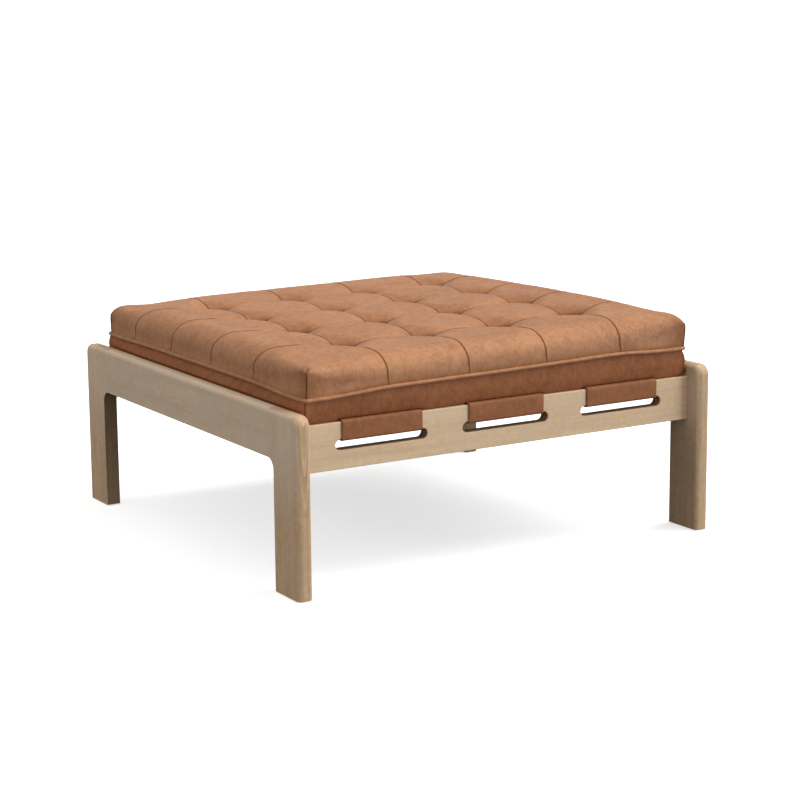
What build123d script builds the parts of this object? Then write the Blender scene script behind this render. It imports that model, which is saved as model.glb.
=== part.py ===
from build123d import *
import math
import os

os.makedirs("parts", exist_ok=True)

# Ottoman coffee table: two arched end frames, two slotted rails, three leather slings and a loose
# tufted cushion. X runs along the slotted rails, Y from the front to the rear, Z up. The origin is on
# the floor, at the centre.

# Overall sizes. With the cushion in place the table is 412.75 high.
overall_width = 863.6
overall_depth = 863.6
frame_height = 311.15

# End frames
frame_thickness = 28.0
leg_width = 82.0
top_rail_height = 83.5
outer_corner_radius = 18.0
arch_corner_radius = 20.0
outer_edge_round = 9.0
arch_outer_round = 1.0
arch_inner_round = 3.5

# Slotted rails
rail_height = 80.5
rail_thickness = 22.5
rail_setback = 32.0
rail_drop = 23.65
rail_edge_round = 1.5
slot_end_margin = 63.3
slot_length = 179.0
slot_height = 18.0
slot_rise = 41.8

# Straps
strap_side_gap = 11.0
strap_thickness = 3.2
strap_lap = 62.0
strap_fold_round = 4.0
rivet_radius = 2.0
rivet_head_radius = 5.0
rivet_head_height = 1.4
rivet_spacing = 80.0
rivet_inset = 20.0
rivet_clearance = 0.1

# Dowels
frame_dowel_radius = 4.0
frame_dowel_length = 40.0
frame_dowel_spacing = 40.0
rail_dowel_radius = 4.0
rail_dowel_length = 30.0
rail_dowel_spacing = 48.0
dowel_end_gap = 1.0
dowel_clearance = 0.1

# Corner brackets and what holds them
bracket_thickness = 3.0
bracket_height = 44.0
bracket_bend_radius = 2.0
bracket_hole_spacing = 24.0
bracket_hole_margin = 5.0
bracket_edge_margin = 15.0
bracket_hole_clearance = 0.3
bolt_radius = 3.0
bolt_length = 14.0
bolt_head_radius = 5.5
bolt_head_height = 3.0
hex_socket_width = 4.0
hex_socket_depth = 1.8
insert_radius = 5.0
insert_length = 12.0
insert_clearance = 0.05
screw_radius = 2.0
screw_length = 17.0
screw_head_radius = 4.0
screw_head_height = 2.4
screw_clearance = 0.1

# Glides under the legs
glide_radius = 11.0
glide_thickness = 5.0
glide_proud = 1.0
glide_stem_radius = 3.0
glide_stem_length = 14.0
glide_clearance = 0.1

# Cushion
cushion_side_gap = 4.8
cushion_lift = 0.3
cushion_thickness = 121.75
welt_rise = 49.0
wall_rise = 83.0
welt_radius = 3.8
welt_corner_radius = 10.0
welt_gap = 0.1
welt_flange_width = 9.0
welt_flange_thickness = 1.2
wall_draw = 4.0
cover_thickness = 1.6
layer_clearance = 0.3
band_corner_radius = 10.0
band_draw = 2.0
bottom_cover_thickness = 1.2
board_thickness = 9.0
board_margin = 6.0

# Tufting
tuft_pitch = 162.0
tufts_each_way = 4
edge_fall = 10.0
seam_dip = 9.0
tuft_dip = 22.0
shoulder_run = 30.0
shoulder_drop = 6.0
end_bottom_rise = 8.0
end_side_inset = 12.0
twine_radius = 1.0
twine_clearance = 0.2
tuft_depth = 6.0
disc_radius = 8.0
disc_thickness = 2.5
disc_clearance = 0.2

# One overrun for every cut that leaves a face, and how near an edge lies to where it is looked for
overrun = 5.0
edge_tolerance = 0.1

# Shares of a cell's width at which the cushion is cut across, and how far the cell has swelled there
cell_shares = (0.0, 0.16, 0.5, 0.84)
swell_shares = (0.0, 0.7, 1.0, 0.7)
# Shares of the shoulder's run in from the cushion's end, with the shares of the rise, of the sides' inset
# and of the bottom's rise there
shoulder_shares = (
    (0.0, 0.10, 1.0, 1.0),
    (0.1, 0.42, 0.45, 0.25),
    (0.3, 0.72, 0.12, 0.0),
    (0.6, 0.93, 0.0, 0.0),
)
# Where a shoulder's arc has its middle, as shares of its run inwards and of its rise
shoulder_arc_shares = (0.22, 0.72)

# Derived places
half_width = overall_width / 2
half_depth = overall_depth / 2
frame_inner_x = half_width - frame_thickness
leg_inner_y = half_depth - leg_width
joint_y = leg_inner_y - arch_corner_radius
arch_top = frame_height - top_rail_height
rail_top = frame_height - rail_drop
rail_bottom = rail_top - rail_height
rail_outer_y = half_depth - rail_setback
rail_inner_y = rail_outer_y - rail_thickness
rail_middle_y = (rail_outer_y + rail_inner_y) / 2
slot_z = rail_bottom + slot_rise
slot_top = slot_z + slot_height / 2
slot_pitch = frame_inner_x - slot_end_margin - slot_length / 2
strap_width = slot_length - 2 * strap_side_gap
strap_top = rail_top + strap_thickness
bracket_z = (max(arch_top, rail_bottom) + rail_top) / 2
bracket_hole_setback = rail_dowel_length / 2 + dowel_end_gap + bracket_hole_margin
bracket_flange = bracket_hole_setback + bracket_edge_margin
cushion_bottom = strap_top + cushion_lift
crown_top = cushion_bottom + cushion_thickness
welt_height = cushion_bottom + welt_rise
wall_top = cushion_bottom + wall_rise
board_bottom = cushion_bottom + bottom_cover_thickness + layer_clearance
board_top = board_bottom + board_thickness
flange_top = welt_height + welt_flange_thickness / 2
flange_bottom = welt_height - welt_flange_thickness / 2
pad_bottom = flange_top + layer_clearance
pad_half_x = frame_inner_x - cushion_side_gap
pad_half_y = rail_outer_y
tuft_places = [(index - (tufts_each_way - 1) / 2) * tuft_pitch for index in range(tufts_each_way)]

sides = (("left", -1), ("right", 1))
ends = (("front", -1), ("rear", 1))


def save(part, name):
    """Label a finished piece and write it under its own name."""
    part.label = name
    export_step(part, f"parts/{name}.step")


def corner_signs():
    """The four corners of the table, as signs of X and Y."""
    return [(side, end) for _, side in sides for _, end in ends]


# End frames
def arch(side):
    """One inverted U, whole, with its rounded edges. Legs and top rail are cut from it."""
    low_x = -half_width if side < 0 else frame_inner_x
    with BuildPart() as blank:
        with BuildSketch(Plane.YZ.offset(low_x)):
            with Locations((0, (frame_height + glide_proud) / 2)):
                Rectangle(overall_depth, frame_height - glide_proud)
            with Locations((0, (arch_top + glide_proud - overrun) / 2)):
                Rectangle(2 * leg_inner_y, arch_top - glide_proud + overrun, mode=Mode.SUBTRACT)
        extrude(amount=frame_thickness)
        lengthwise = blank.edges().filter_by(Axis.X)
        top_corners = lengthwise.group_by(Axis.Z)[-1]
        fillet(top_corners, radius=outer_corner_radius)
        arch_corners = blank.edges().filter_by(Axis.X).filter_by(
            lambda edge: abs(abs(edge.center().Y) - leg_inner_y) < edge_tolerance
            and abs(edge.center().Z - arch_top) < edge_tolerance
        )
        fillet(arch_corners, radius=arch_corner_radius)
        outer_face = blank.faces().filter_by(Axis.X).sort_by(Axis.X)[0 if side < 0 else -1]
        inner_face = blank.faces().filter_by(Axis.X).sort_by(Axis.X)[-1 if side < 0 else 0]
        outline = [edge for face in (outer_face, inner_face) for edge in face.edges() if on_outline(edge)]
        fillet(outline, radius=outer_edge_round)
        for face_x, arch_round in ((half_width, arch_outer_round), (frame_inner_x, arch_inner_round)):
            fillet([edge for edge in blank.edges() if on_arch(edge, side * face_x)], radius=arch_round)
    return blank.part


def on_outline(edge):
    """Whether an edge is on the frame's outside outline, above its feet."""
    middle = edge.center()
    near_end = abs(middle.Y) > half_depth - outer_corner_radius
    near_top = middle.Z > frame_height - outer_corner_radius
    return near_end or near_top


def on_arch(edge, face_x):
    """Whether an edge of the arch lies on the frame's face at face_x."""
    low, high = edge.bounding_box().min, edge.bounding_box().max
    on_face = abs(low.X - face_x) < edge_tolerance and abs(high.X - face_x) < edge_tolerance
    inside = abs(edge.center().Y) < leg_inner_y + edge_tolerance
    above_foot = high.Z > glide_proud + edge_tolerance
    return on_face and inside and above_foot and high.Z < arch_top + edge_tolerance


def frame_dowel_heights():
    """Heights of the two dowels in each joint between a leg and its top rail."""
    middle = (arch_top + frame_height) / 2
    return (middle - frame_dowel_spacing / 2, middle + frame_dowel_spacing / 2)


def rail_dowel_heights():
    """Heights of the two dowels in each end of a slotted rail."""
    middle = (rail_bottom + rail_top) / 2
    return (middle - rail_dowel_spacing / 2, middle + rail_dowel_spacing / 2)


def bracket_hole_heights():
    """Heights of the two fasteners in each flange of a bracket."""
    return (bracket_z - bracket_hole_spacing / 2, bracket_z + bracket_hole_spacing / 2)


def cylinder_along_x(places, radius, length):
    """Cut equal cylinders along X, each centred on its place."""
    with Locations(*places):
        Cylinder(radius, length, rotation=(0, 90, 0), mode=Mode.SUBTRACT)


def cylinder_along_y(places, radius, length):
    """Cut equal cylinders along Y, each centred on its place."""
    with Locations(*places):
        Cylinder(radius, length, rotation=(90, 0, 0), mode=Mode.SUBTRACT)


frame_middle_x = half_width - frame_thickness / 2
leg_middle_y = half_depth - leg_width / 2
# The dowels between leg and top rail stand outside the holes of the threaded inserts
frame_dowel_x = (frame_inner_x + insert_length + dowel_end_gap + half_width) / 2
bolt_y = rail_inner_y - bracket_hole_setback
screw_x = frame_inner_x - bracket_hole_setback

for side_name, side in sides:
    whole_arch = arch(side)
    for end_name, end in ends:
        with BuildPart() as leg:
            add(whole_arch)
            split(bisect_by=Plane(origin=(0, end * joint_y, 0), z_dir=(0, end, 0)), keep=Keep.TOP)
            cylinder_along_y(
                [(side * frame_dowel_x, end * joint_y, z) for z in frame_dowel_heights()],
                frame_dowel_radius + dowel_clearance,
                frame_dowel_length + 2 * dowel_end_gap,
            )
            cylinder_along_x(
                [(side * frame_inner_x, end * rail_middle_y, z) for z in rail_dowel_heights()],
                rail_dowel_radius + dowel_clearance,
                rail_dowel_length + 2 * dowel_end_gap,
            )
            cylinder_along_x(
                [(side * frame_inner_x, end * bolt_y, z) for z in bracket_hole_heights()],
                insert_radius + insert_clearance,
                2 * (insert_length + dowel_end_gap),
            )
            with Locations((side * frame_middle_x, end * leg_middle_y, glide_proud)):
                Cylinder(
                    glide_radius + glide_clearance,
                    2 * (glide_thickness - glide_proud),
                    mode=Mode.SUBTRACT,
                )
                Cylinder(
                    glide_stem_radius + glide_clearance,
                    2 * (glide_thickness - glide_proud + glide_stem_length + dowel_end_gap),
                    mode=Mode.SUBTRACT,
                )
        save(leg.part, f"{end_name}_{side_name}_leg")
    with BuildPart() as top_rail:
        add(whole_arch)
        for _, end in ends:
            split(bisect_by=Plane(origin=(0, end * joint_y, 0), z_dir=(0, end, 0)), keep=Keep.BOTTOM)
            cylinder_along_y(
                [(side * frame_dowel_x, end * joint_y, z) for z in frame_dowel_heights()],
                frame_dowel_radius + dowel_clearance,
                frame_dowel_length + 2 * dowel_end_gap,
            )
    save(top_rail.part, f"{side_name}_top_rail")

with BuildPart() as frame_dowels:
    for side, end in corner_signs():
        with Locations(*[(side * frame_dowel_x, end * joint_y, z) for z in frame_dowel_heights()]):
            Cylinder(frame_dowel_radius, frame_dowel_length, rotation=(90, 0, 0))
save(frame_dowels.part, "frame_dowels")

with BuildPart() as foot_glides:
    for side, end in corner_signs():
        with Locations((side * frame_middle_x, end * leg_middle_y, glide_thickness / 2)):
            Cylinder(glide_radius, glide_thickness)
        with Locations((side * frame_middle_x, end * leg_middle_y, glide_thickness + glide_stem_length / 2)):
            Cylinder(glide_stem_radius, glide_stem_length)
save(foot_glides.part, "foot_glides")

# Slotted rails
slot_places = [index * slot_pitch for index in (-1, 0, 1)]

for end_name, end in ends:
    with BuildPart() as rail:
        with Locations((0, end * rail_middle_y, (rail_bottom + rail_top) / 2)):
            Box(2 * frame_inner_x, rail_thickness, rail_height)
        with BuildSketch(Plane.XZ.offset(-end * rail_middle_y)):
            with Locations(*[(x, slot_z) for x in slot_places]):
                SlotOverall(slot_length, slot_height)
        extrude(amount=rail_thickness, both=True, mode=Mode.SUBTRACT)
        broad_faces = rail.faces().filter_by(Axis.Y).sort_by(Axis.Y)
        rounded = [
            edge
            for face in (broad_faces[0], broad_faces[-1])
            for edge in face.edges()
            if abs(edge.center().X) < frame_inner_x - rail_edge_round
        ]
        fillet(rounded, radius=rail_edge_round)
        for _, side in sides:
            cylinder_along_x(
                [(side * frame_inner_x, end * rail_middle_y, z) for z in rail_dowel_heights()],
                rail_dowel_radius + dowel_clearance,
                rail_dowel_length + 2 * dowel_end_gap,
            )
            cylinder_along_y(
                [(side * screw_x, end * rail_inner_y, z) for z in bracket_hole_heights()],
                screw_radius + screw_clearance,
                2 * (screw_length - bracket_thickness + dowel_end_gap),
            )
    save(rail.part, f"{end_name}_rail")

with BuildPart() as rail_dowels:
    for side, end in corner_signs():
        with Locations(*[(side * frame_inner_x, end * rail_middle_y, z) for z in rail_dowel_heights()]):
            Cylinder(rail_dowel_radius, rail_dowel_length, rotation=(0, 90, 0))
save(rail_dowels.part, "rail_dowels")

# Straps
rivet_y = rail_inner_y - strap_lap + rivet_inset
lap_bottom = rail_top - strap_thickness


def strap_outline():
    """The strap from the side: a run from rail to rail, a loop round each and an end lapped under the run."""
    with BuildSketch() as outline:
        with Locations((0, rail_top + strap_thickness / 2)):
            Rectangle(2 * rail_middle_y, strap_thickness)
        loop_width = rail_thickness + 2 * strap_thickness
        loop_height = rail_top - slot_top + 2 * strap_thickness
        for _, end in ends:
            with Locations((end * rail_middle_y, (rail_top + slot_top) / 2)):
                RectangleRounded(loop_width, loop_height, strap_fold_round)
            with Locations((end * (rail_inner_y - strap_lap / 2), rail_top - strap_thickness / 2)):
                Rectangle(strap_lap, strap_thickness)
        for _, end in ends:
            with Locations((end * rail_middle_y, (rail_top + slot_top) / 2)):
                RectangleRounded(rail_thickness, rail_top - slot_top, rail_edge_round, mode=Mode.SUBTRACT)
    return outline.sketch


def rivet_places(strap_x):
    """The four rivets of one strap, as points in plan."""
    return [(strap_x + row * rivet_spacing / 2, end * rivet_y) for _, end in ends for row in (-1, 1)]


for strap_name, strap_x in zip(("left_strap", "centre_strap", "right_strap"), slot_places):
    with BuildPart() as strap:
        with BuildSketch(Plane.YZ.offset(strap_x)):
            add(strap_outline())
        extrude(amount=strap_width / 2, both=True)
        with Locations(*[(x, y, rail_top) for x, y in rivet_places(strap_x)]):
            Cylinder(rivet_radius + rivet_clearance, 2 * strap_thickness + overrun, mode=Mode.SUBTRACT)
    save(strap.part, strap_name)

with BuildPart() as strap_rivets:
    for strap_x in slot_places:
        with BuildSketch(Plane.XY.offset(strap_top)):
            with Locations(*rivet_places(strap_x)):
                Circle(rivet_radius)
        extrude(amount=-2 * strap_thickness)
        with BuildSketch(Plane.XY.offset(lap_bottom)):
            with Locations(*rivet_places(strap_x)):
                Circle(rivet_head_radius)
        extrude(amount=-rivet_head_height)
    head_rims = strap_rivets.edges().filter_by(GeomType.CIRCLE).group_by(Axis.Z)[0]
    fillet(head_rims, radius=rivet_head_height / 2)
save(strap_rivets.part, "strap_rivets")


# Corner brackets and what holds them
def bracket_places(end, side):
    """Fastener places of one corner: in the rail's flange, then in the frame's flange."""
    heights = bracket_hole_heights()
    in_rail = [(side * screw_x, end * rail_inner_y, z) for z in heights]
    in_frame = [(side * frame_inner_x, end * bolt_y, z) for z in heights]
    return in_rail, in_frame


def in_corner(end, side, inset):
    """A point in plan, the same distance in from the rail and from the end frame at one corner."""
    return (side * (frame_inner_x - inset), end * (rail_inner_y - inset))


for end_name, end in ends:
    for side_name, side in sides:
        in_rail, in_frame = bracket_places(end, side)
        with BuildPart() as bracket:
            with BuildSketch(Plane.XY.offset(bracket_z - bracket_height / 2)):
                with Locations(in_corner(end, side, bracket_flange / 2)):
                    Rectangle(bracket_flange, bracket_flange)
                with Locations(in_corner(end, side, bracket_thickness + bracket_flange / 2)):
                    Rectangle(bracket_flange, bracket_flange, mode=Mode.SUBTRACT)
            extrude(amount=bracket_height)
            upright = bracket.edges().filter_by(Axis.Z)
            bend_x, bend_y = in_corner(end, side, bracket_thickness)
            fillet(upright.sort_by_distance((bend_x, bend_y, bracket_z))[0], radius=bracket_bend_radius)
            hole_length = 2 * bracket_thickness + overrun
            cylinder_along_y(in_rail, screw_radius + bracket_hole_clearance, hole_length)
            cylinder_along_x(in_frame, bolt_radius + bracket_hole_clearance, hole_length)
        save(bracket.part, f"{end_name}_{side_name}_bracket")


def round_head(shank_radius, length, head_radius, head_height):
    """One fastener about its own Z axis: the head's seat is at zero, the shank runs down."""
    with BuildPart() as fastener:
        with BuildSketch():
            Circle(head_radius)
        extrude(amount=head_height)
        fillet(fastener.edges().group_by(Axis.Z)[-1], radius=head_height / 3)
        with BuildSketch():
            Circle(shank_radius)
        extrude(amount=-length)
        with BuildSketch(Plane.XY.offset(head_height)):
            RegularPolygon(hex_socket_width / 2, 6, major_radius=False)
        extrude(amount=-hex_socket_depth, mode=Mode.SUBTRACT)
    return fastener.part


bolt = round_head(bolt_radius, bolt_length, bolt_head_radius, bolt_head_height)
screw = round_head(screw_radius, screw_length, screw_head_radius, screw_head_height)

with BuildPart() as bracket_bolts:
    for side, end in corner_signs():
        seat = side * (frame_inner_x - bracket_thickness)
        with Locations(*[Location((seat, end * bolt_y, z), (0, -side * 90, 0)) for z in bracket_hole_heights()]):
            add(bolt)
save(bracket_bolts.part, "bracket_bolts")

with BuildPart() as bracket_screws:
    for side, end in corner_signs():
        seat = end * (rail_inner_y - bracket_thickness)
        with Locations(*[Location((side * screw_x, seat, z), (end * 90, 0, 0)) for z in bracket_hole_heights()]):
            add(screw)
save(bracket_screws.part, "bracket_screws")

with BuildPart() as threaded_inserts:
    for side, end in corner_signs():
        low_x = frame_inner_x if side > 0 else -frame_inner_x - insert_length
        with BuildSketch(Plane.YZ.offset(low_x)):
            with Locations(*[(end * bolt_y, z) for z in bracket_hole_heights()]):
                Circle(insert_radius)
                Circle(bolt_radius + insert_clearance, mode=Mode.SUBTRACT)
        extrude(amount=insert_length)
save(threaded_inserts.part, "threaded_inserts")


# Cushion
def crown_height(x, y):
    """Height of the cushion's crown over a point, before its seams and tufts pull it down."""
    fall = (x / pad_half_x) ** 2 + (y / pad_half_y) ** 2
    return crown_top - edge_fall * fall


def stations():
    """Places along X where the cushion is cut across.

    Each is (x, swell, rise, inset, bottom): shares of the cell's swelling, of the rise over the wall's top, of the
    inset of the sides and of the bottom's rise.
    """
    left_shoulder = []
    for run_share, rise, inset, bottom in shoulder_shares:
        left_shoulder.append((-pad_half_x + run_share * shoulder_run, 1.0, rise, inset, bottom))
    right_shoulder = [(-x, *shares) for x, *shares in reversed(left_shoulder)]
    cell_sides = [-pad_half_x] + tuft_places + [pad_half_x]
    outer_reach = (pad_half_x + tuft_places[-1]) / 2 + edge_tolerance
    cells = []
    for start, finish in zip(cell_sides[:-1], cell_sides[1:]):
        for share, swell in zip(cell_shares, swell_shares):
            x = start + share * (finish - start)
            if abs(x) < outer_reach:
                cells.append((x, swell, 1.0, 0.0, 0.0))
    return left_shoulder + cells + right_shoulder


def cross_section(x, swell, rise, inset, bottom, skin):
    """The cushion's upper part cut across at x: walls, shoulders and one arc for each cell."""
    base = pad_bottom + bottom * end_bottom_rise
    side_y = pad_half_y - skin - inset * end_side_inset
    foot_y = side_y - wall_draw
    shoulder_y = side_y - shoulder_run
    wall_z = wall_top - skin - (1 - rise) * shoulder_drop

    def height(y, dip):
        full = crown_height(x, y) - dip - skin
        return wall_z + rise * (full - wall_z)

    seam = seam_dip + (tuft_dip - seam_dip) * (1 - swell)
    crest = seam_dip * (1 - swell)
    shoulder_z = height(shoulder_y, crest + shoulder_drop)
    points = [(-shoulder_y, shoulder_z)] + [(y, height(y, seam)) for y in tuft_places] + [(shoulder_y, shoulder_z)]
    turn_y = side_y - shoulder_arc_shares[0] * shoulder_run
    turn_z = wall_z + shoulder_arc_shares[1] * (shoulder_z - wall_z)
    with BuildLine() as outline:
        Line((-foot_y, base), (foot_y, base))
        for turn in (-1, 1):
            ThreePointArc((turn * foot_y, base), (turn * side_y, (base + wall_z) / 2), (turn * side_y, wall_z))
            ThreePointArc((turn * side_y, wall_z), (turn * turn_y, turn_z), (turn * shoulder_y, shoulder_z))
        for (y_left, z_left), (y_right, z_right) in zip(points[:-1], points[1:]):
            y_middle = (y_left + y_right) / 2
            ThreePointArc((y_left, z_left), (y_middle, height(y_middle, crest)), (y_right, z_right))
    return outline.line


def tufted_body(skin):
    """The cushion's upper part, as a loft through its cross sections, one skin inside the cover's outer face."""
    with BuildPart() as body:
        for x, swell, rise, inset, bottom in stations():
            near_end = abs(x) > pad_half_x - shoulder_run
            inner_x = x - math.copysign(skin, x) if near_end else x
            with BuildSketch(Plane.YZ.offset(inner_x)):
                with BuildLine():
                    add(cross_section(x, swell, rise, inset, bottom, skin))
                make_face()
        loft(ruled=True)
    return body.part


def tuft_floor(x, y):
    """Height of the seat on which a tuft's disc lies, under the cover."""
    return crown_height(x, y) - tuft_dip - cover_thickness - tuft_depth


tufts = [(x, y) for x in tuft_places for y in tuft_places]

with BuildPart() as cover_top:
    add(tufted_body(0))
    add(tufted_body(cover_thickness), mode=Mode.SUBTRACT)
save(cover_top.part, "cushion_cover_top")

with BuildPart() as quilted_pad:
    add(tufted_body(cover_thickness + layer_clearance))
    for x, y in tufts:
        floor = tuft_floor(x, y)
        with Locations((x, y, (pad_bottom + floor) / 2)):
            Cylinder(twine_radius + twine_clearance, floor - pad_bottom + overrun, mode=Mode.SUBTRACT)
        with Locations((x, y, floor + (tuft_depth + tuft_dip) / 2)):
            Cylinder(disc_radius + disc_clearance, tuft_depth + tuft_dip, mode=Mode.SUBTRACT)
save(quilted_pad.part, "quilted_pad")

# Welt: a cord round the cushion, with the flange by which it is sewn in
welt_x = pad_half_x - wall_draw + welt_radius + welt_gap
welt_y = pad_half_y - wall_draw + welt_radius + welt_gap

with BuildPart() as welt:
    with BuildLine() as quarter:
        FilletPolyline(
            (0, -welt_y, welt_height),
            (welt_x, -welt_y, welt_height),
            (welt_x, 0, welt_height),
            radius=welt_corner_radius,
        )
    with BuildSketch(Plane(origin=quarter.line @ 0, z_dir=quarter.line % 0)):
        Circle(welt_radius)
    sweep()
    mirror(about=Plane.XZ)
    mirror(about=Plane.YZ)
    with BuildSketch(Plane.XY.offset(flange_bottom)):
        RectangleRounded(2 * welt_x, 2 * welt_y, welt_corner_radius)
        inner_x = welt_x - welt_radius - welt_flange_width
        inner_y = welt_y - welt_radius - welt_flange_width
        Rectangle(2 * inner_x, 2 * inner_y, mode=Mode.SUBTRACT)
    extrude(amount=welt_flange_thickness)
save(welt.part, "cushion_welt")

# Lower band and what it holds
band_top = flange_bottom - layer_clearance
band_foot_x = pad_half_x - wall_draw
band_foot_y = pad_half_y - wall_draw
band_levels = ((cushion_bottom, 0), ((cushion_bottom + band_top) / 2, band_draw), (band_top, 0))
inside_x = band_foot_x - cover_thickness
inside_y = band_foot_y - cover_thickness
inside_corner = band_corner_radius - cover_thickness


def slab(low_z, high_z, margin):
    """A flat layer inside the band, with the given margin to its inner face."""
    with BuildPart() as layer:
        with BuildSketch(Plane.XY.offset(low_z)):
            RectangleRounded(2 * (inside_x - margin), 2 * (inside_y - margin), inside_corner)
        extrude(amount=high_z - low_z)
    return layer.part


def tuft_holes(radius, low_z, high_z):
    """Cut one upright hole for each tuft."""
    with Locations(*[(x, y, (low_z + high_z) / 2) for x, y in tufts]):
        Cylinder(radius, high_z - low_z, mode=Mode.SUBTRACT)


with BuildPart() as band:
    for level, draw in band_levels:
        with BuildSketch(Plane.XY.offset(level)):
            RectangleRounded(2 * (band_foot_x + draw), 2 * (band_foot_y + draw), band_corner_radius)
    loft(ruled=True)
    add(slab(cushion_bottom - overrun, band_top + overrun, 0), mode=Mode.SUBTRACT)
save(band.part, "cushion_band")

save(slab(cushion_bottom, cushion_bottom + bottom_cover_thickness, welt_gap), "cushion_bottom_cover")

with BuildPart() as base_board:
    add(slab(board_bottom, board_top, board_margin))
    tuft_holes(twine_radius + twine_clearance, board_bottom - overrun, board_top + overrun)
    tuft_holes(disc_radius + disc_clearance, board_bottom - overrun, board_bottom + disc_thickness)
save(base_board.part, "base_board")

with BuildPart() as foam_core:
    add(slab(board_top, band_top, layer_clearance))
    add(slab(board_top, pad_bottom, welt_flange_width + layer_clearance))
    tuft_holes(twine_radius + twine_clearance, board_bottom, pad_bottom + overrun)
save(foam_core.part, "foam_core")

# Tufting
with BuildPart() as tufting_twines:
    twine_foot = board_bottom + disc_thickness
    for x, y in tufts:
        floor = tuft_floor(x, y)
        with Locations((x, y, (twine_foot + floor) / 2)):
            Cylinder(twine_radius, floor - twine_foot)
save(tufting_twines.part, "tufting_twines")

with BuildPart() as tuft_discs:
    with Locations(*[(x, y, tuft_floor(x, y) + disc_thickness / 2) for x, y in tufts]):
        Cylinder(disc_radius, disc_thickness)
save(tuft_discs.part, "tuft_discs")

with BuildPart() as anchor_discs:
    with Locations(*[(x, y, board_bottom + disc_thickness / 2) for x, y in tufts]):
        Cylinder(disc_radius, disc_thickness)
save(anchor_discs.part, "anchor_discs")
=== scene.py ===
"""Ottoman coffee table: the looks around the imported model. Metres, Z up, origin on the floor."""
import math

import bpy
import numpy as np
from mathutils import Matrix, Vector, noise


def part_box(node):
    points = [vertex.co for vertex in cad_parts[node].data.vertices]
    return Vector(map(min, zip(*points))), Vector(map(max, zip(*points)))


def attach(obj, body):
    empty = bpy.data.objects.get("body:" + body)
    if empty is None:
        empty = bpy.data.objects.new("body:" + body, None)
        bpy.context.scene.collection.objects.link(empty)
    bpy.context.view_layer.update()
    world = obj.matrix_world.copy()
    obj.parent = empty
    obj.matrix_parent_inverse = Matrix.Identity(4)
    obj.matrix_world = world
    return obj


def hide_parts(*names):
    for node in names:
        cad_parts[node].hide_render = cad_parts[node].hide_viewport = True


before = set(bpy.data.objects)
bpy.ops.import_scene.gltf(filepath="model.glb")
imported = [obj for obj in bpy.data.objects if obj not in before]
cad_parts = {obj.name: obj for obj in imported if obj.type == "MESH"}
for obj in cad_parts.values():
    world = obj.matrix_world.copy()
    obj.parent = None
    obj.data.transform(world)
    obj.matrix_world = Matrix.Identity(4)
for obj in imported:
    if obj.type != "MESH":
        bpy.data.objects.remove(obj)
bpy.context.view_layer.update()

MM = 0.001

# Four values in a row belong to the corners in this order
CORNERS = ("front_left", "front_right", "rear_left", "rear_right")

# Sizes of the cushion and the frame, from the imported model
cover_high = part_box("cushion_cover_top")[1]
band_low, band_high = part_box("cushion_band")
welt_low, welt_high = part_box("cushion_welt")
rail_low, rail_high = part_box("front_rail")
side_low, side_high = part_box("left_top_rail")
WALL_X = cover_high[0]
WALL_Y = -rail_low[1]
CROWN_GAP = 5.3 * MM
CROWN_TOP = cover_high[2] - CROWN_GAP
WELT_Z = (welt_low[2] + welt_high[2]) / 2
WELT_RADIUS = (welt_high[2] - welt_low[2]) / 2
CUSHION_BOTTOM = band_low[2]
FRAME_TOP = side_high[2]
FRAME_INNER = -side_high[0]
LEG_WIDTH = 82 * MM
ARCH_TOP = side_low[2]
ARCH_HALF = -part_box("front_left_leg")[0][1] - LEG_WIDTH
# Where shade is painted on the wood: inside the rails' slots, in the end frames' openings and on their inner
# sides
SLOT_LOW = 239.8 * MM
SLOT_HIGH = 257.8 * MM
SLOT_REACH = (2.5 * MM, 3 * MM)
SLOT_SOFT = 1 * MM
ARCH_REACH = (1 * MM, 2 * MM)
INNER_REACH = (0.5 * MM, 1.5 * MM)
INNER_PAINTED_SHADE_SHARE = 0.25
STRAPS = ("left_strap", "centre_strap", "right_strap")

# How the cushion is tufted: seams between the tufts, a little off the middle as sewn
TUFT_PITCH = 162 * MM
TUFTS = 4
SEAMS = [(index - (TUFTS - 1) / 2) * TUFT_PITCH for index in range(TUFTS)]
TUFT_SHIFT = (5 * MM, 3 * MM)
SEAM_DEPTH = 11 * MM
TUFT_DEPTH = 22 * MM
TUFT_REACH = 30 * MM
TUFT_POWER = 1.5
PILLOW_REACH = 66 * MM
PILLOW_POWER = 2.8
EDGE_SEAM_SHARE = 0.09
EDGE_FLAT = (50 * MM, 132 * MM)

# How the seams show: their width, the groove they press and the fine lines of the grid beside them
SEAM_WIDTH = 1.6 * MM
SEAM_LINES = np.array([0.0, 0.8, 1.7, 3.0, 5.0]) * MM
SEAM_CLEARANCE = 1.5 * MM
GROOVE_WIDTH = 1.6 * MM
GROOVE_DEPTH = 0.9 * MM
WALL_FADE_SHARE = 0.35
CORNER_SEAM = 2.0 * MM
CORNER_SEAM_SHARE = 0.9
CORNER_SEAM_RUNS = (18 * MM, 8 * MM, 8 * MM, 8 * MM)
CORNER_SEAM_END_SHARES = (0.8, 1.2)

# Painted shade in the creases at the tufts and softly beside the corners
TUFT_SHADE = (16 * MM, 42 * MM)
TUFT_SHADE_SHARES = (0.95, 0.24)
TUFT_CREASE_SHARES = (1.9, 1.5)
TUFT_CREASE_POWER = 4
CORNER_SHADE_SHARE = 0.42
CORNER_SHADE_REACH = 24 * MM
CORNER_SHADE_INSETS = (5 * MM, 3 * MM)

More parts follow.
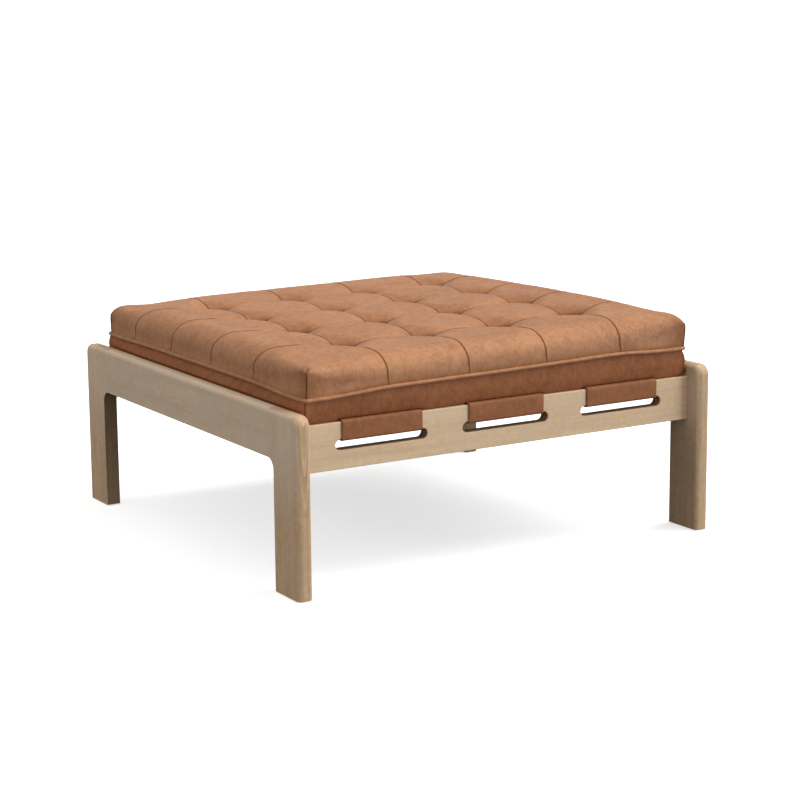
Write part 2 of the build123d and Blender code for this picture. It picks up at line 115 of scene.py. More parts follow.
# The crown, the soft shoulders and the drawn-in corners
EDGE_FALL = 5 * MM
EDGE_POWER = 4
DEPTH_FALL = 9 * MM
TILT = 0.013
REAR_RISE = 1.5 * MM
REAR_RISE_RUN = (80 * MM, 340 * MM)
REAR_RISE_MIDDLE_SHARE = 0.1
FRONT_RIGHT_RISE = 9 * MM
FRONT_RIGHT_RUN = (60 * MM, 370 * MM)
FORWARD_START_SHARE = 0.55
FORWARD_RUN_SHARE = 1.2
FORWARD_POWER = 1.2
INNER_FALL = 2.5 * MM
SHOULDER_RUN = 58 * MM
SHOULDER_Z = CUSHION_BOTTOM + 68 * MM
PINCH_Z = [CUSHION_BOTTOM + rise * MM for rise in (88, 88, 80, 70)]
PINCH_REACH = 40 * MM
PINCH_SPREAD_SHARE = 1.3
PINCH_NARROW_SHARES = (0.85, 1.0, 1.0, 1.0)
PINCH_SHARES = (0.42, 0.50, 0.42, 0.10)
CORNER_INSETS_X = (7 * MM, 0 * MM, 6 * MM, 3 * MM)
CORNER_INSETS_Y = (3 * MM, 3 * MM, 5 * MM, 5 * MM)
CORNER_POWER = 6
RIM_DRAW = (1.5 * MM, 4 * MM)
CLOSING_SHARE = 0.985

# The welt's way round and how the seams drift along the walls on their way down to it
WELT_DIPS = (6 * MM, 6 * MM, 3 * MM, 6 * MM)
WELT_DIP_REACH = 125 * MM
WELT_DIP_POWER = 3
WELT_SWELL = 2 * MM
WELT_SWELL_PLACE = (270 * MM, -WALL_Y)
WELT_SWELL_REACH = 110 * MM
DRIFTS = {"front": 4 * MM, "rear": -5 * MM, "left": 6 * MM, "right": 4 * MM}
SHOULDER_DRIFT = 22 * MM
DRIFT_RUN = 75 * MM

# The welt's cord
CORNER_STEPS = 8
WELT_SIDES = 14
WELT_CORNER = 9 * MM
WELT_STEP = 5 * MM
WELT_FULL_SHARE = 0.98
WELT_FLAT_SHARE = 0.94
WELT_INSET_SHARE = 0.7
WELT_WANDER = 0.5 * MM
WELT_BULGE = 0.21 * MM

# The lower band's section from the welt down and back up inside: how far out in mm, the height, and how much
# fuller in mm it is at the left and right sides, all along them and in their middle
BAND_TOP = WELT_Z + 0.5 * MM
BAND_SECTION = (
    (-9.0, BAND_TOP, 0, 0),
    (-2.5, BAND_TOP, 0, 0),
    (0.2, BAND_TOP - 3.5 * MM, 0, 0),
    (1.3, BAND_TOP - 9 * MM, 2.0, 0.8),
    (2.1, BAND_TOP - 16 * MM, 4.2, 2.6),
    (2.6, BAND_TOP - 24 * MM, 5.2, 4.4),
    (2.6, FRAME_TOP + 2.6 * MM, 4.6, 4.6),
    (2.6, FRAME_TOP + 0.6 * MM, 3.0, 0.8),
    (2.4, BAND_TOP - 32 * MM, 4.6, 0),
    (1.6, BAND_TOP - 39 * MM, 5.8, 0),
    (0.6, BAND_TOP - 44 * MM, 6.4, 0),
    (-0.6, CUSHION_BOTTOM + 2.0 * MM, 5.6, 0),
    (-2.6, CUSHION_BOTTOM + 0.4 * MM, 4.2, 0),
    (-6.0, CUSHION_BOTTOM, 0, 0),
    (-11.0, CUSHION_BOTTOM, 0, 0),
    (-11.0, CUSHION_BOTTOM + 2 * MM, 0, 0),
    (-7.0, CUSHION_BOTTOM + 4 * MM, 0, 0),
    (-5.0, BAND_TOP - 24 * MM, 0, 0),
)
BAND_OUTER = range(2, 13)
BAND_INSET = 2 * MM
BAND_CORNER = 5 * MM
BAND_STEP = 6 * MM
BAND_FULL_SHARES = (0.6, 1.0, 0.2, 0.6)
BAND_GAP = 0.5 * MM
BAND_SEATED = (CUSHION_BOTTOM + 4 * MM, FRAME_TOP - 3 * MM)
BAND_FREE_Z = FRAME_TOP + 0.3 * MM
BAND_WIDE_WAVE = 0.9 * MM
BAND_FINE_WAVE = 0.35 * MM
BAND_DRAW = 1.2 * MM
BAND_DRAW_POWER = 8
BAND_SEAM_SHARE = 0.85
BAND_SAG = 2.9 * MM
SAG_RUN = (1 * MM, 9 * MM)
SAG_LEVELS = 3
FACING_SHARE = 0.9
LEAST_FACING_SHARE = 0.3

# Inside the cushion: the tufts' seats and the foam, with its softened edge as mm out and mm off the face
COVER_THICKNESS = 1.2 * MM
DISC_THICKNESS = 2.5 * MM
DISC_SIDES = 28
TWINE_SIDES = 10
SEAT_REACH = 6 * MM
SEAT_RISE = 5 * MM
FOAM_EDGE = ((-40, 0), (-3, 0), (-0.8, 0.8), (0, 3))
FOAM_EASE = 7 * MM
FOAM_CORNER = 12 * MM
FOAM_CORNER_STEPS = 6
FOAM_TOP_GAP = 8 * MM
FOAM_BOTTOM_GAP = 0.2 * MM
FOAM_UNEVEN = 0.4 * MM

# Straps: the radii of their turns are in mm, from the lap to the top of the rail
STRAP_THICKNESS = 3.2 * MM
STRAP_LAP = 62 * MM
STRAP_TURNS = (0, 2.2, 2.6, 3.0, 3.0)
STRAP_TURN_STEPS = 6
STRAP_STEP = 6 * MM
STRAP_COLUMNS = 24
STRAP_EDGE = 0.9 * MM
STRAP_EDGE_SHARE = 0.3
STRAP_SHADE_SHARE = 0.55
STRAP_WAVE = 0.35 * MM
STRAP_WAVE_SCALES = (22, 30)
STRAP_FREE = (4 * MM, 6 * MM)

# Colours
# Painted shade for the wood's slots, openings and inner sides
CUT_PAINTED_SHADE = (0.42, 0.38, 0.34)
# Painted shade for the cushion's tuft creases and corners
CREASE_PAINTED_SHADE = (0.30, 0.20, 0.15)
SEAM_STAIN = (0.095, 0.026, 0.009)
NAP_TINT = (1.0, 0.86, 0.80, 1.0)
RAIL_COLOURS = ((0.815, 0.605, 0.395), (0.640, 0.445, 0.270), (0.665, 0.515, 0.360))
LEG_COLOURS = ((0.680, 0.470, 0.285), (0.465, 0.300, 0.165), (0.510, 0.375, 0.240))
TOP_COLOURS = ((0.740, 0.565, 0.400), (0.570, 0.420, 0.280), (0.610, 0.490, 0.370))
PORE_SHARE = 0.62
GRAIN_SHARE = 0.045
RING_GRAIN_SHARE = 0.08
RING_CENTRE = (0.4178, 0.428, -0.0248)
RING_SHARE = 0.26
RING_FADE = (0.10, 0.24)
WASH_FADE = (0.10, 0.27)

# Cloth simulation of the cover
CELL_STEPS = 18
WALL_STEPS = 5
WALL_ROW = 6 * MM
SIM_FRAMES = 20
SIM_CAP = 5 * MM
ON_SEAM = 0.1 * MM
EDGE_HOLD = 0.25
CLOTH_SETTINGS = {
    "quality": 6,
    "mass": 0.3,
    "air_damping": 4.0,
    "tension_stiffness": 25,
    "compression_stiffness": 25,
    "shear_stiffness": 10,
    "bending_stiffness": 6.0,
    "tension_damping": 15,
    "compression_damping": 15,
    "use_pressure": True,
    "uniform_pressure_force": 3.0,
    "vertex_group_mass": "held",
    "pin_stiffness": 6.0,
}

# Floor and light
FLOOR_HALF = 300.0
FLOOR_GLOW = 0.60
FLOOR_Z = -0.5 * MM
BOUNCE_Z = -1.5 * MM
HORIZON_LIGHT = 0.62
ZENITH_LIGHT = 0.70
BACK_LIGHT = 0.40
BACK_SIDE = (0.12, 0.99, 0.0)
STRIP_PLACE = Vector((2.3, -3.9, 0.32))
STRIP_TARGET = Vector((0.0, -0.4, 0.34))
STRIP_SIZE = (3.6, 0.5)
STRIP_ENERGY = 36
STRIP_COLOUR = (1.0, 0.97, 0.98)

# Camera, fitted to the landmarks of the table in the photograph
CAMERA_PLACE = (-1.9881, -3.3270, 1.0000)
CAMERA_YAW = math.radians(32.33)
CAMERA_PITCH = math.radians(10.55)
CAMERA_ROLL = math.radians(-0.28)
FOCAL_PIXELS = 2074.1
FRAME_PIXELS = 800
CENTRE_PIXEL = (440, 370)
SENSOR = 36.0


def material(name):
    """A new material, short calls on its nodes, and its shader."""
    mat = bpy.data.materials.new(name)
    mat.use_nodes = True
    return mat, Nodes(mat.node_tree), mat.node_tree.nodes["Principled BSDF"]


class Nodes:
    """Short calls that add and wire shader nodes."""

    def __init__(self, tree):
        self.tree = tree
        coordinates = tree.nodes.new("ShaderNodeTexCoord")
        self.place = coordinates.outputs["Object"]
        self.normal = coordinates.outputs["Normal"]
        self.direction = coordinates.outputs["Generated"]

    def fill(self, node, inputs):
        """Fill a node's sockets, named or numbered, with values or with other sockets."""
        for key, value in inputs.items():
            if isinstance(value, bpy.types.NodeSocket):
                self.tree.links.new(value, node.inputs[key])
            else:
                node.inputs[key].default_value = value

    def new(self, kind, inputs, **settings):
        """A new node with its settings and its filled sockets."""
        node = self.tree.nodes.new(kind)
        for key, value in settings.items():
            setattr(node, key, value)
        self.fill(node, inputs)
        return node

    def scaled(self, stretch=(1, 1, 1), offset=(0, 0, 0)):
        """The object's own coordinates, stretched and moved."""
        inputs = {"Vector": self.place, "Scale": stretch, "Location": offset}
        return self.new("ShaderNodeMapping", inputs).outputs["Vector"]

    def noise(self, scale, detail, roughness, distortion=0.0, stretch=(1, 1, 1), offset=(0, 0, 0)):
        """A field of noise from 0 to 1."""
        inputs = {"Vector": self.scaled(stretch, offset), "Scale": scale, "Detail": detail}
        inputs.update({"Roughness": roughness, "Distortion": distortion})
        return self.new("ShaderNodeTexNoise", inputs).outputs["Fac"]

    def math(self, operation, *values):
        """A sum of one kind on numbers or sockets."""
        return self.new("ShaderNodeMath", dict(enumerate(values)), operation=operation).outputs[0]

    def times(self, first, second):
        return self.math("MULTIPLY", first, second)

    def blend(self, *parts):
        """The sum of sockets, each times its share."""
        total = 0.0
        for value, share in parts:
            total = self.math("MULTIPLY_ADD", value, share, total)
        return total

    def axes(self, vector):
        """The absolute X, Y and Z of a vector socket."""
        node = self.new("ShaderNodeSeparateXYZ", {0: vector})
        return [self.math("ABSOLUTE", node.outputs[axis]) for axis in range(3)]

    def span(self, value, low, high, to_low=0.0, to_high=1.0):
        """A value's place between two others, smooth, turned into a range."""
        inputs = {"Value": value, "From Min": low, "From Max": high, "To Min": to_low, "To Max": to_high}
        return self.new("ShaderNodeMapRange", inputs, interpolation_type="SMOOTHSTEP").outputs["Result"]

    def mix(self, share, first, second, blend="MIX"):
        """Two colours mixed, each a tuple or a socket."""
        inputs = {0: share}
        for socket, colour in ((6, first), (7, second)):
            inputs[socket] = (*colour, 1.0) if isinstance(colour, tuple) else colour
        return self.new("ShaderNodeMix", inputs, data_type="RGBA", blend_type=blend).outputs[2]

    def attribute(self, name):
        return self.new("ShaderNodeAttribute", {}, attribute_name=name).outputs["Fac"]

    def bump(self, height, distance, strength, under=None):
        """A normal that a field bumps, over another bumped normal where one is given."""
        inputs = {"Height": height, "Distance": distance, "Strength": strength}
        if under is not None:
            inputs["Normal"] = under
        return self.new("ShaderNodeBump", inputs).outputs["Normal"]


def leather(name, light, dark, warm, streak=0.10, sheen=0.09, gloss=0.45, rough=(0.56, 0.42)):
    """Nubuck-like leather: soft clouds, fine mottling and streaks, a dry nap, thin dark seams and painted
    shade where the shade attribute asks.
    """
    mat, nodes, shader = material(name)
    clouds = nodes.noise(11.0, 3.0, 0.55, 0.3)
    patches = nodes.noise(70.0, 6.0, 0.72, 0.6, (1, 1, 0.8), (3.1, 1.7, 0.4))
    mottle = nodes.noise(260.0, 4.0, 0.7, 0.4, (1, 1, 0.7), (1.3, 0.2, 2.4))
    streaks = nodes.noise(150.0, 5.0, 0.7, 0.8, (1, 1, 0.30), (0.3, 0.9, 0.0))
    flecks = nodes.noise(700.0, 3.0, 0.65, offset=(7.0, 0.0, 0.0))
    seam, shade = nodes.attribute("seam"), nodes.attribute("shade")
    tone = nodes.blend((clouds, 0.14), (patches, 0.42), (mottle, 0.44 - streak), (streaks, streak))
    colour = nodes.mix(nodes.span(tone, 0.39, 0.61), dark, light)
    colour = nodes.mix(nodes.span(clouds, 0.40, 0.72, 0.0, 0.25), colour, warm)
    pore_colour = tuple(PORE_SHARE * part for part in dark)
    colour = nodes.mix(nodes.span(flecks, 0.54, 0.72, 0.0, 0.55), colour, pore_colour)
    colour = nodes.mix(nodes.span(flecks, 0.24, 0.44, 0.28, 0.0), colour, light)
    # Painted shade in the tuft creases and beside the corners
    colour = nodes.mix(nodes.times(shade, 0.85), colour, CREASE_PAINTED_SHADE, "MULTIPLY")
    colour = nodes.mix(nodes.times(seam, 0.92), colour, SEAM_STAIN)
    # The seams and the painted shade take less gloss and sheen
    seam_and_painted_shade = nodes.math("MAXIMUM", seam, shade)
    pores = nodes.new("ShaderNodeTexVoronoi", {"Vector": nodes.scaled(), "Scale": 900.0})
    bumped = nodes.bump(pores.outputs["Distance"], 0.00012, 0.35)
    bumped = nodes.bump(patches, 0.0007, 0.25, bumped)
    nodes.fill(shader, {
        "Base Color": colour,
        "Roughness": nodes.span(patches, 0.3, 0.7, *rough),
        "Specular IOR Level": nodes.span(seam_and_painted_shade, 0.0, 0.8, gloss, 0.04),
        "Sheen Weight": nodes.span(seam_and_painted_shade, 0.0, 0.6, sheen, 0.0),
        "Sheen Roughness": 0.45,
        "Sheen Tint": NAP_TINT,
        "Normal": nodes.bump(mottle, 0.0003, 0.30, bumped),
    })
    return mat


def oak(name, grain_axis, colours, grey_share, seed, cut, ringed=False):
    """Washed oak: pores and bands along the grain, soft grey clouds, painted shade on the faces that cut
    picks out and, where asked, rings.
    """
    light, dark, grey = colours
    mat, nodes, shader = material(name)
    squeeze = [1.0, 1.0, 1.0]
    squeeze[grain_axis] = GRAIN_SHARE
    along = {"stretch": squeeze, "offset": (seed, seed * 0.7, seed * 1.3)}
    bands = nodes.noise(34.0, 4.0, 0.60, 0.7, **along)
    fine = nodes.noise(150.0, 5.0, 0.66, 0.4, **along)
    pores = nodes.noise(900.0, 2.0, 0.5, stretch=[part / 2 for part in squeeze], offset=(seed, 0, 0))
    clouds = nodes.noise(12.0, 6.0, 0.65, 0.5, offset=(0, seed, seed))
    speckle = nodes.noise(110.0, 4.0, 0.65, offset=(seed, 0, 2.0))
    side, front, _ = nodes.axes(nodes.normal)
    _, _, height = nodes.axes(nodes.place)
    tone = nodes.blend((bands, 0.40), (fine, 0.26), (speckle, 0.34))
    if ringed:
        slow = [1.0, 1.0, 1.0]
        slow[grain_axis] = RING_GRAIN_SHARE
        inputs = {"Vector": nodes.scaled(slow, RING_CENTRE), "Scale": 75.0, "Distortion": 2.2}
        inputs.update({"Detail": 2.0, "Detail Scale": 1.4})
        style = {"wave_type": "RINGS", "rings_direction": "SPHERICAL", "wave_profile": "SAW"}
        rings = nodes.new("ShaderNodeTexWave", inputs, **style).outputs["Fac"]
        share = nodes.times(nodes.span(front, 0.55, 0.95), nodes.span(height, *RING_FADE, 0.0, RING_SHARE))
        tone = nodes.blend((tone, nodes.math("SUBTRACT", 1.0, share)), (rings, share))
    light_share = nodes.span(tone, 0.34, 0.66)
    colour = nodes.mix(light_share, dark, light)
    colour = nodes.mix(nodes.span(clouds, 0.36, 0.66, 0.0, grey_share), colour, grey)
    pore_colour = tuple(PORE_SHARE * part for part in dark)
    colour = nodes.mix(nodes.span(pores, 0.60, 0.78, 0.0, 0.22), colour, pore_colour)
    if grain_axis == 2:
        # The left and right faces of a leg take on the top rail's colour towards the joint
        top_light, top_dark, top_grey = TOP_COLOURS
        washed = nodes.times(nodes.span(side, 0.35, 0.75), nodes.span(height, *WASH_FADE))
        washed_colour = nodes.mix(light_share, top_dark, top_light)
        washed_colour = nodes.mix(nodes.span(clouds, 0.36, 0.66, 0.0, 0.7), washed_colour, top_grey)
        colour = nodes.mix(washed, colour, washed_colour)
    # Painted shade on the faces that cut picks out
    colour = nodes.mix(cut(nodes), colour, CUT_PAINTED_SHADE, "MULTIPLY")
    nodes.fill(shader, {
        "Base Color": colour,
        "Roughness": nodes.span(fine, 0.3, 0.7, 0.62, 0.50),
        "Normal": nodes.bump(fine, 0.0002, 0.25, nodes.bump(pores, 0.00012, 0.25)),
        "Specular IOR Level": 0.35,
    })
    return mat


def plain_noise(name, light, dark, scale, roughness, metallic=0.0, stretch=(1, 1, 1)):
    """A small-part finish: two close colours mixed by noise, with a little bump."""
    mat, nodes, shader = material(name)
    field = nodes.noise(scale, 4.0, 0.6, stretch=stretch)
    nodes.fill(shader, {
        "Base Color": nodes.mix(nodes.span(field, 0.35, 0.65), dark, light),
        "Roughness": nodes.span(field, 0.3, 0.7, roughness - 0.06, roughness + 0.06),
        "Normal": nodes.bump(field, 0.0001, 0.4),
        "Metallic": metallic,
    })
    return mat


def dress(node, mat):
    """Give a carried-over node its material."""
    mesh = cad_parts[node].data
    mesh.materials.clear()
    mesh.materials.append(mat)


# Materials of the cushion and the straps
CUSHION_LEATHER = leather(
    "cushion_leather", (0.492, 0.230, 0.106), (0.338, 0.140, 0.057), (0.470, 0.212, 0.092)
)
BAND_LEATHER = leather(
    "band_leather", (0.350, 0.131, 0.050), (0.232, 0.080, 0.029), (0.320, 0.117, 0.043),
    streak=0.20, sheen=0.0, gloss=0.22, rough=(0.66, 0.52),
)
STRAP_LEATHER = leather(
    "strap_leather", (0.355, 0.138, 0.056), (0.265, 0.098, 0.038), (0.340, 0.130, 0.052),
    streak=0.12, sheen=0.0, gloss=0.28, rough=(0.60, 0.48),
)
FOAM = plain_noise("foam", (0.86, 0.82, 0.70), (0.78, 0.73, 0.60), 800, 0.95)
TWINE = plain_noise("twine", (0.66, 0.60, 0.48), (0.50, 0.45, 0.35), 900, 0.9)
DISC_PLASTIC = plain_noise("disc_plastic", (0.30, 0.28, 0.25), (0.24, 0.22, 0.20), 500, 0.5)


# The cushion's upper part: a grid over the top, carried on down the four walls
def along_side(half, shift):
    """Places of the grid's lines across the cushion, with their run measured over the surface."""
    rise = CROWN_TOP - EDGE_FALL - SHOULDER_Z
    arc = math.pi / 2 * math.sqrt((SHOULDER_RUN ** 2 + rise ** 2) / 2)

    def edge(last_seam):
        """Lines from the last seam out to the wall, spaced evenly over flat and shoulder."""
        flat = half - SHOULDER_RUN - last_seam
        steps = np.arange(1, CELL_STEPS + 1) / CELL_STEPS * (flat + arc)
        turn = np.clip((steps - flat) / arc, 0, 1) * math.pi / 2
        places = np.where(steps < flat, last_seam + steps, half - SHOULDER_RUN + SHOULDER_RUN * np.sin(turn))
        return places, last_seam + steps

    first, last = SEAMS[0] + shift, SEAMS[-1] + shift
    inner = np.linspace(first, last, (TUFTS - 1) * CELL_STEPS + 1)
    low_places, low_runs = edge(-first)
    high_places, high_runs = edge(last)
    places = np.concatenate([-low_places[::-1], inner, high_places])
    runs = np.concatenate([-low_runs[::-1], inner, high_runs]) - shift
    return places, runs


def shoulder(inset, run):
    """How much of the full height is reached at a distance in from the wall."""
    share = np.clip(inset / run, 0, 1)
    return np.sqrt(1 - (1 - share) ** 2)


def smooth_step(value, low, high):
    """0 below a range, 1 above it and smooth in between."""
    share = np.clip((value - low) / (high - low), 0, 1)
    return share * share * (3 - 2 * share)


def at_corner(x, y, values):
    """One of four values, picked by the corner that each point is nearest to."""
    left, front = np.asarray(x) < 0, np.asarray(y) < 0
    return np.select([left & front, ~left & front, left & ~front], values[:3], values[3])


def rounded_top(x, y):
    """Height of the crowned top with its shoulders and the four pinched corners, before the tufting."""
    inset_x = WALL_X - np.abs(x)
    inset_y = WALL_Y - np.abs(y)
    narrow_x = inset_x / at_corner(x, y, PINCH_NARROW_SHARES)
    close_x = np.exp(-(inset_y / PINCH_REACH) ** 2)
    close_y = np.exp(-(narrow_x / PINCH_REACH) ** 2)
    pinch = np.exp(-(narrow_x ** 2 + inset_y ** 2) / (PINCH_SPREAD_SHARE * PINCH_REACH) ** 2)
    wall_z = SHOULDER_Z + (at_corner(x, y, PINCH_Z) - SHOULDER_Z) * pinch + TILT * x
    edge_x, edge_y = (x / WALL_X) ** EDGE_POWER, (y / WALL_Y) ** EDGE_POWER
    crown = CROWN_TOP - EDGE_FALL * edge_x - DEPTH_FALL * (y / WALL_Y) ** 2 + TILT * x
    crown = crown - INNER_FALL * (1 - edge_x) * (1 - edge_y)
    crown = crown + REAR_RISE * smooth_step(y, *REAR_RISE_RUN) * np.abs(x / WALL_X - REAR_RISE_MIDDLE_SHARE)
    forward = np.clip((FORWARD_START_SHARE - y / WALL_Y) / FORWARD_RUN_SHARE, 0, 1) ** FORWARD_POWER
    crown = crown + FRONT_RIGHT_RISE * forward * smooth_step(x, *FRONT_RIGHT_RUN)
    pinched = at_corner(x, y, PINCH_SHARES)
    across = shoulder(inset_x, SHOULDER_RUN * (1 - pinched * close_x))
    deep = shoulder(inset_y, SHOULDER_RUN * (1 - pinched * close_y))
    return wall_z + (crown - wall_z) * across * deep


def side_inset(x, y, along, half, insets):
    """How far a wall stands in towards its corners."""
    share = np.clip(np.abs(along) / half, 0, 1)
    return at_corner(x, y, insets) * share ** CORNER_POWER


def welt_height(x, y):
    """Height of the welt: it dips at the corners and wanders a little on its way round."""
    from_corner = np.hypot(WALL_X - np.abs(x), WALL_Y - np.abs(y))
    dip = at_corner(x, y, WELT_DIPS) * np.exp(-(from_corner / WELT_DIP_REACH) ** WELT_DIP_POWER)
    from_swell = np.hypot(x - WELT_SWELL_PLACE[0], y - WELT_SWELL_PLACE[1])
    rise = WELT_SWELL * np.exp(-(from_swell / WELT_SWELL_REACH) ** 2)
    return WELT_Z - dip + rise + TILT * x


def nearest_seam(run):
    """Distance over the surface from a run to the nearest seam."""
    return np.min(np.abs(np.asarray(run)[..., None] - np.array(SEAMS)), axis=-1)


def pillow(run):
    """Swelling between seams at a surface run: 0 on a seam, 1 from PILLOW_REACH on."""
    return 1 - (1 - np.clip(nearest_seam(run) / PILLOW_REACH, 0, 1)) ** PILLOW_POWER


def sheet_index(rows, columns, closed_rows=1, closed_columns=1):
    """The numbers of a sheet's points, row by row, with the first again at the end where it closes."""
    index = np.arange(rows * columns).reshape(rows, columns)
    return np.pad(index, ((0, closed_rows), (0, closed_columns)), mode="wrap")


def grid_faces(index):
    """The quads of a grid of vertex numbers."""
    rows, columns = index.shape
    return [
        (index[r, c], index[r + 1, c], index[r + 1, c + 1], index[r, c + 1])
        for r in range(rows - 1)
        for c in range(columns - 1)
    ]


def cover_patches():
    """The five patches of the cover as arrays of points: the top, then front, rear, left and right walls."""
    places_x, runs_x = along_side(WALL_X, TUFT_SHIFT[0])
    places_y, runs_y = along_side(WALL_Y, TUFT_SHIFT[1])
    x, y = np.meshgrid(places_x, places_y, indexing="ij")
    run_x, run_y = np.meshgrid(runs_x, runs_y, indexing="ij")
    z = rounded_top(x, y)
    near_x = shoulder(WALL_X - np.abs(x), SHOULDER_RUN)
    near_y = shoulder(WALL_Y - np.abs(y), SHOULDER_RUN)
    plan_x = x - np.sign(x) * side_inset(x, y, y, WALL_Y, CORNER_INSETS_X) * (1 - near_x)
    plan_y = y - np.sign(y) * side_inset(x, y, x, WALL_X, CORNER_INSETS_Y) * (1 - near_y)
    at_left = smooth_step(-x, WALL_X - DRIFT_RUN, WALL_X)
    plan_y = plan_y + SHOULDER_DRIFT * at_left * (1 - (y / WALL_Y) ** CORNER_POWER)
    top = np.stack([plan_x, plan_y, z], axis=-1)
    swell = pillow(run_x) * pillow(run_y)
    reach = np.hypot(nearest_seam(run_x), nearest_seam(run_y))
    depth = SEAM_DEPTH * (1 - swell) + TUFT_DEPTH * np.exp(-(reach / TUFT_REACH) ** TUFT_POWER)
    outward = np.cross(np.gradient(top, axis=0), np.gradient(top, axis=1))
    outward /= np.linalg.norm(outward, axis=-1, keepdims=True)
    from_edge = np.minimum(WALL_X - np.abs(x), WALL_Y - np.abs(y))
    flat = smooth_step(from_edge, *EDGE_FLAT)
    top = top - outward * (depth * (EDGE_SEAM_SHARE + (1 - EDGE_SEAM_SHARE) * flat))[..., None]
    walls = []
    for rim, half, axis, sign, drift in (
        (top[:, 0], WALL_X, 1, -1, DRIFTS["front"]),
        (top[:, -1], WALL_X, 1, 1, DRIFTS["rear"]),
        (top[0, :], WALL_Y, 0, -1, DRIFTS["left"]),
        (top[-1, :], WALL_Y, 0, 1, DRIFTS["right"]),
    ):
        along = rim[:, 1 - axis]
        free = 1 - np.clip(np.abs(along) / half, 0, 1) ** CORNER_POWER
        rows = [rim]
        for step in range(1, WALL_STEPS + 1):
            share = step / WALL_STEPS
            row = rim.copy()
            row[:, 1 - axis] = along + drift * free * share
            end_z = welt_height(row[:, 0], row[:, 1])
            row[:, 2] = rim[:, 2] + (end_z - rim[:, 2]) * share
            row[:, axis] -= sign * RIM_DRAW[axis] * share ** 3
            rows.append(row)
        walls.append(np.array(rows))
    return top, walls, (runs_x, runs_y)


def weld(top, walls):
    """One numbering of all the patches' points, shared along the edges where they meet."""
    count = top.shape[0] * top.shape[1]
    top_index = np.arange(count).reshape(top.shape[:2])
    points = [top.reshape(-1, 3)]
    indices = []
    for wall, rim in zip(walls, (top_index[:, 0], top_index[:, -1], top_index[0, :], top_index[-1, :])):
        rows, length = wall.shape[:2]
        below = count + np.arange((rows - 1) * length).reshape(rows - 1, length)
        indices.append(np.concatenate([rim[None], below]))
        points.append(wall[1:].reshape(-1, 3))
        count += (rows - 1) * length
    front, rear, left, right = indices
    left[1:, 0], left[1:, -1] = front[1:, 0], rear[1:, 0]
    right[1:, 0], right[1:, -1] = front[1:, -1], rear[1:, -1]
    return np.concatenate(points), top_index, indices


def cover_faces(top_index, indices):
    """All the quads, wound to face outwards."""
    front, rear, left, right = indices
    faces = [face[::-1] for face in grid_faces(top_index)]
    faces += grid_faces(front[:, ::-1])
    faces += grid_faces(rear)
    faces += grid_faces(left)
    faces += grid_faces(right[:, ::-1])
    return faces


def add(name, data):
    """A new object in the scene for a mesh, a light or a camera."""
    obj = bpy.data.objects.new(name, data)
    bpy.context.scene.collection.objects.link(obj)
    return obj


def new_object(name, points, faces, mats, smooth=True):
    """A mesh object, made from points and faces."""
    used = np.unique(np.concatenate([np.array(face) for face in faces]))
    renumber = np.full(len(points), -1)
    renumber[used] = np.arange(len(used))
    mesh = bpy.data.meshes.new(name)
    places = [tuple(place) for place in np.asarray(points)[used]]
    mesh.from_pydata(places, [], [tuple(renumber[list(face)]) for face in faces])
    mesh.polygons.foreach_set("use_smooth", [smooth] * len(mesh.polygons))
    for mat in mats:
        mesh.materials.append(mat)
    mesh.update()
    return add(name, mesh), used


def mark_points(obj, name, values):
    """Give each of an object's points a value that its material reads."""
    obj.data.attributes.new(name, "FLOAT", "POINT").data.foreach_set("value", values)


def simulate(points, faces, top_index, indices, runs):
    """Blow the cover up under pressure, held along its seams and its rim; cap each point's move."""
    obj, used = new_object("cover_cloth", points, faces, [])
    hold = np.zeros(len(points))
    on_x, on_y = (nearest_seam(run) < ON_SEAM for run in runs)
    inset = np.min(np.array([WALL_X, WALL_Y]) - np.abs(points[top_index][..., :2]), axis=-1)
    seam_hold = EDGE_HOLD + (1 - EDGE_HOLD) * smooth_step(inset, *EDGE_FLAT)
    hold[top_index] = seam_hold * (on_x[:, None] | on_y[None, :])
    hold[top_index[on_x[:, None] & on_y[None, :]]] = 1.0
    for index, on_seam in zip(indices, (on_x, on_x, on_y, on_y)):
        hold[index[:, on_seam]] = EDGE_HOLD
        hold[index[-1]] = 1.0
        hold[index[:, [0, -1]]] = 1.0
    group = obj.vertex_groups.new(name="held")
    for number, weight in enumerate(hold[used]):
        if weight > 0:
            group.add([number], float(weight), "REPLACE")
    cloth = obj.modifiers.new("Cloth", "CLOTH")
    for key, value in CLOTH_SETTINGS.items():
        setattr(cloth.settings, key, value)
    cloth.settings.effector_weights.gravity = 0.0
    cloth.collision_settings.use_collision = False
    cloth.point_cache.frame_start = 1
    cloth.point_cache.frame_end = SIM_FRAMES
    for number in range(1, SIM_FRAMES + 1):
        bpy.context.scene.frame_set(number)
    moved = obj.evaluated_get(bpy.context.evaluated_depsgraph_get()).data
    after = np.empty(len(used) * 3)
    moved.vertices.foreach_get("co", after)
    bpy.context.scene.frame_set(1)
    shift = after.reshape(-1, 3) - points[used]
    length = np.linalg.norm(shift, axis=1, keepdims=True)
    print("cloth moved: mean %.1f mm, most %.1f mm" % (length.mean() / MM, length.max() / MM))
    result = points.copy()
    result[used] += shift * np.tanh(length / SIM_CAP) * SIM_CAP / np.maximum(length, 1e-9)
    bpy.data.objects.remove(obj, do_unlink=True)
    return result


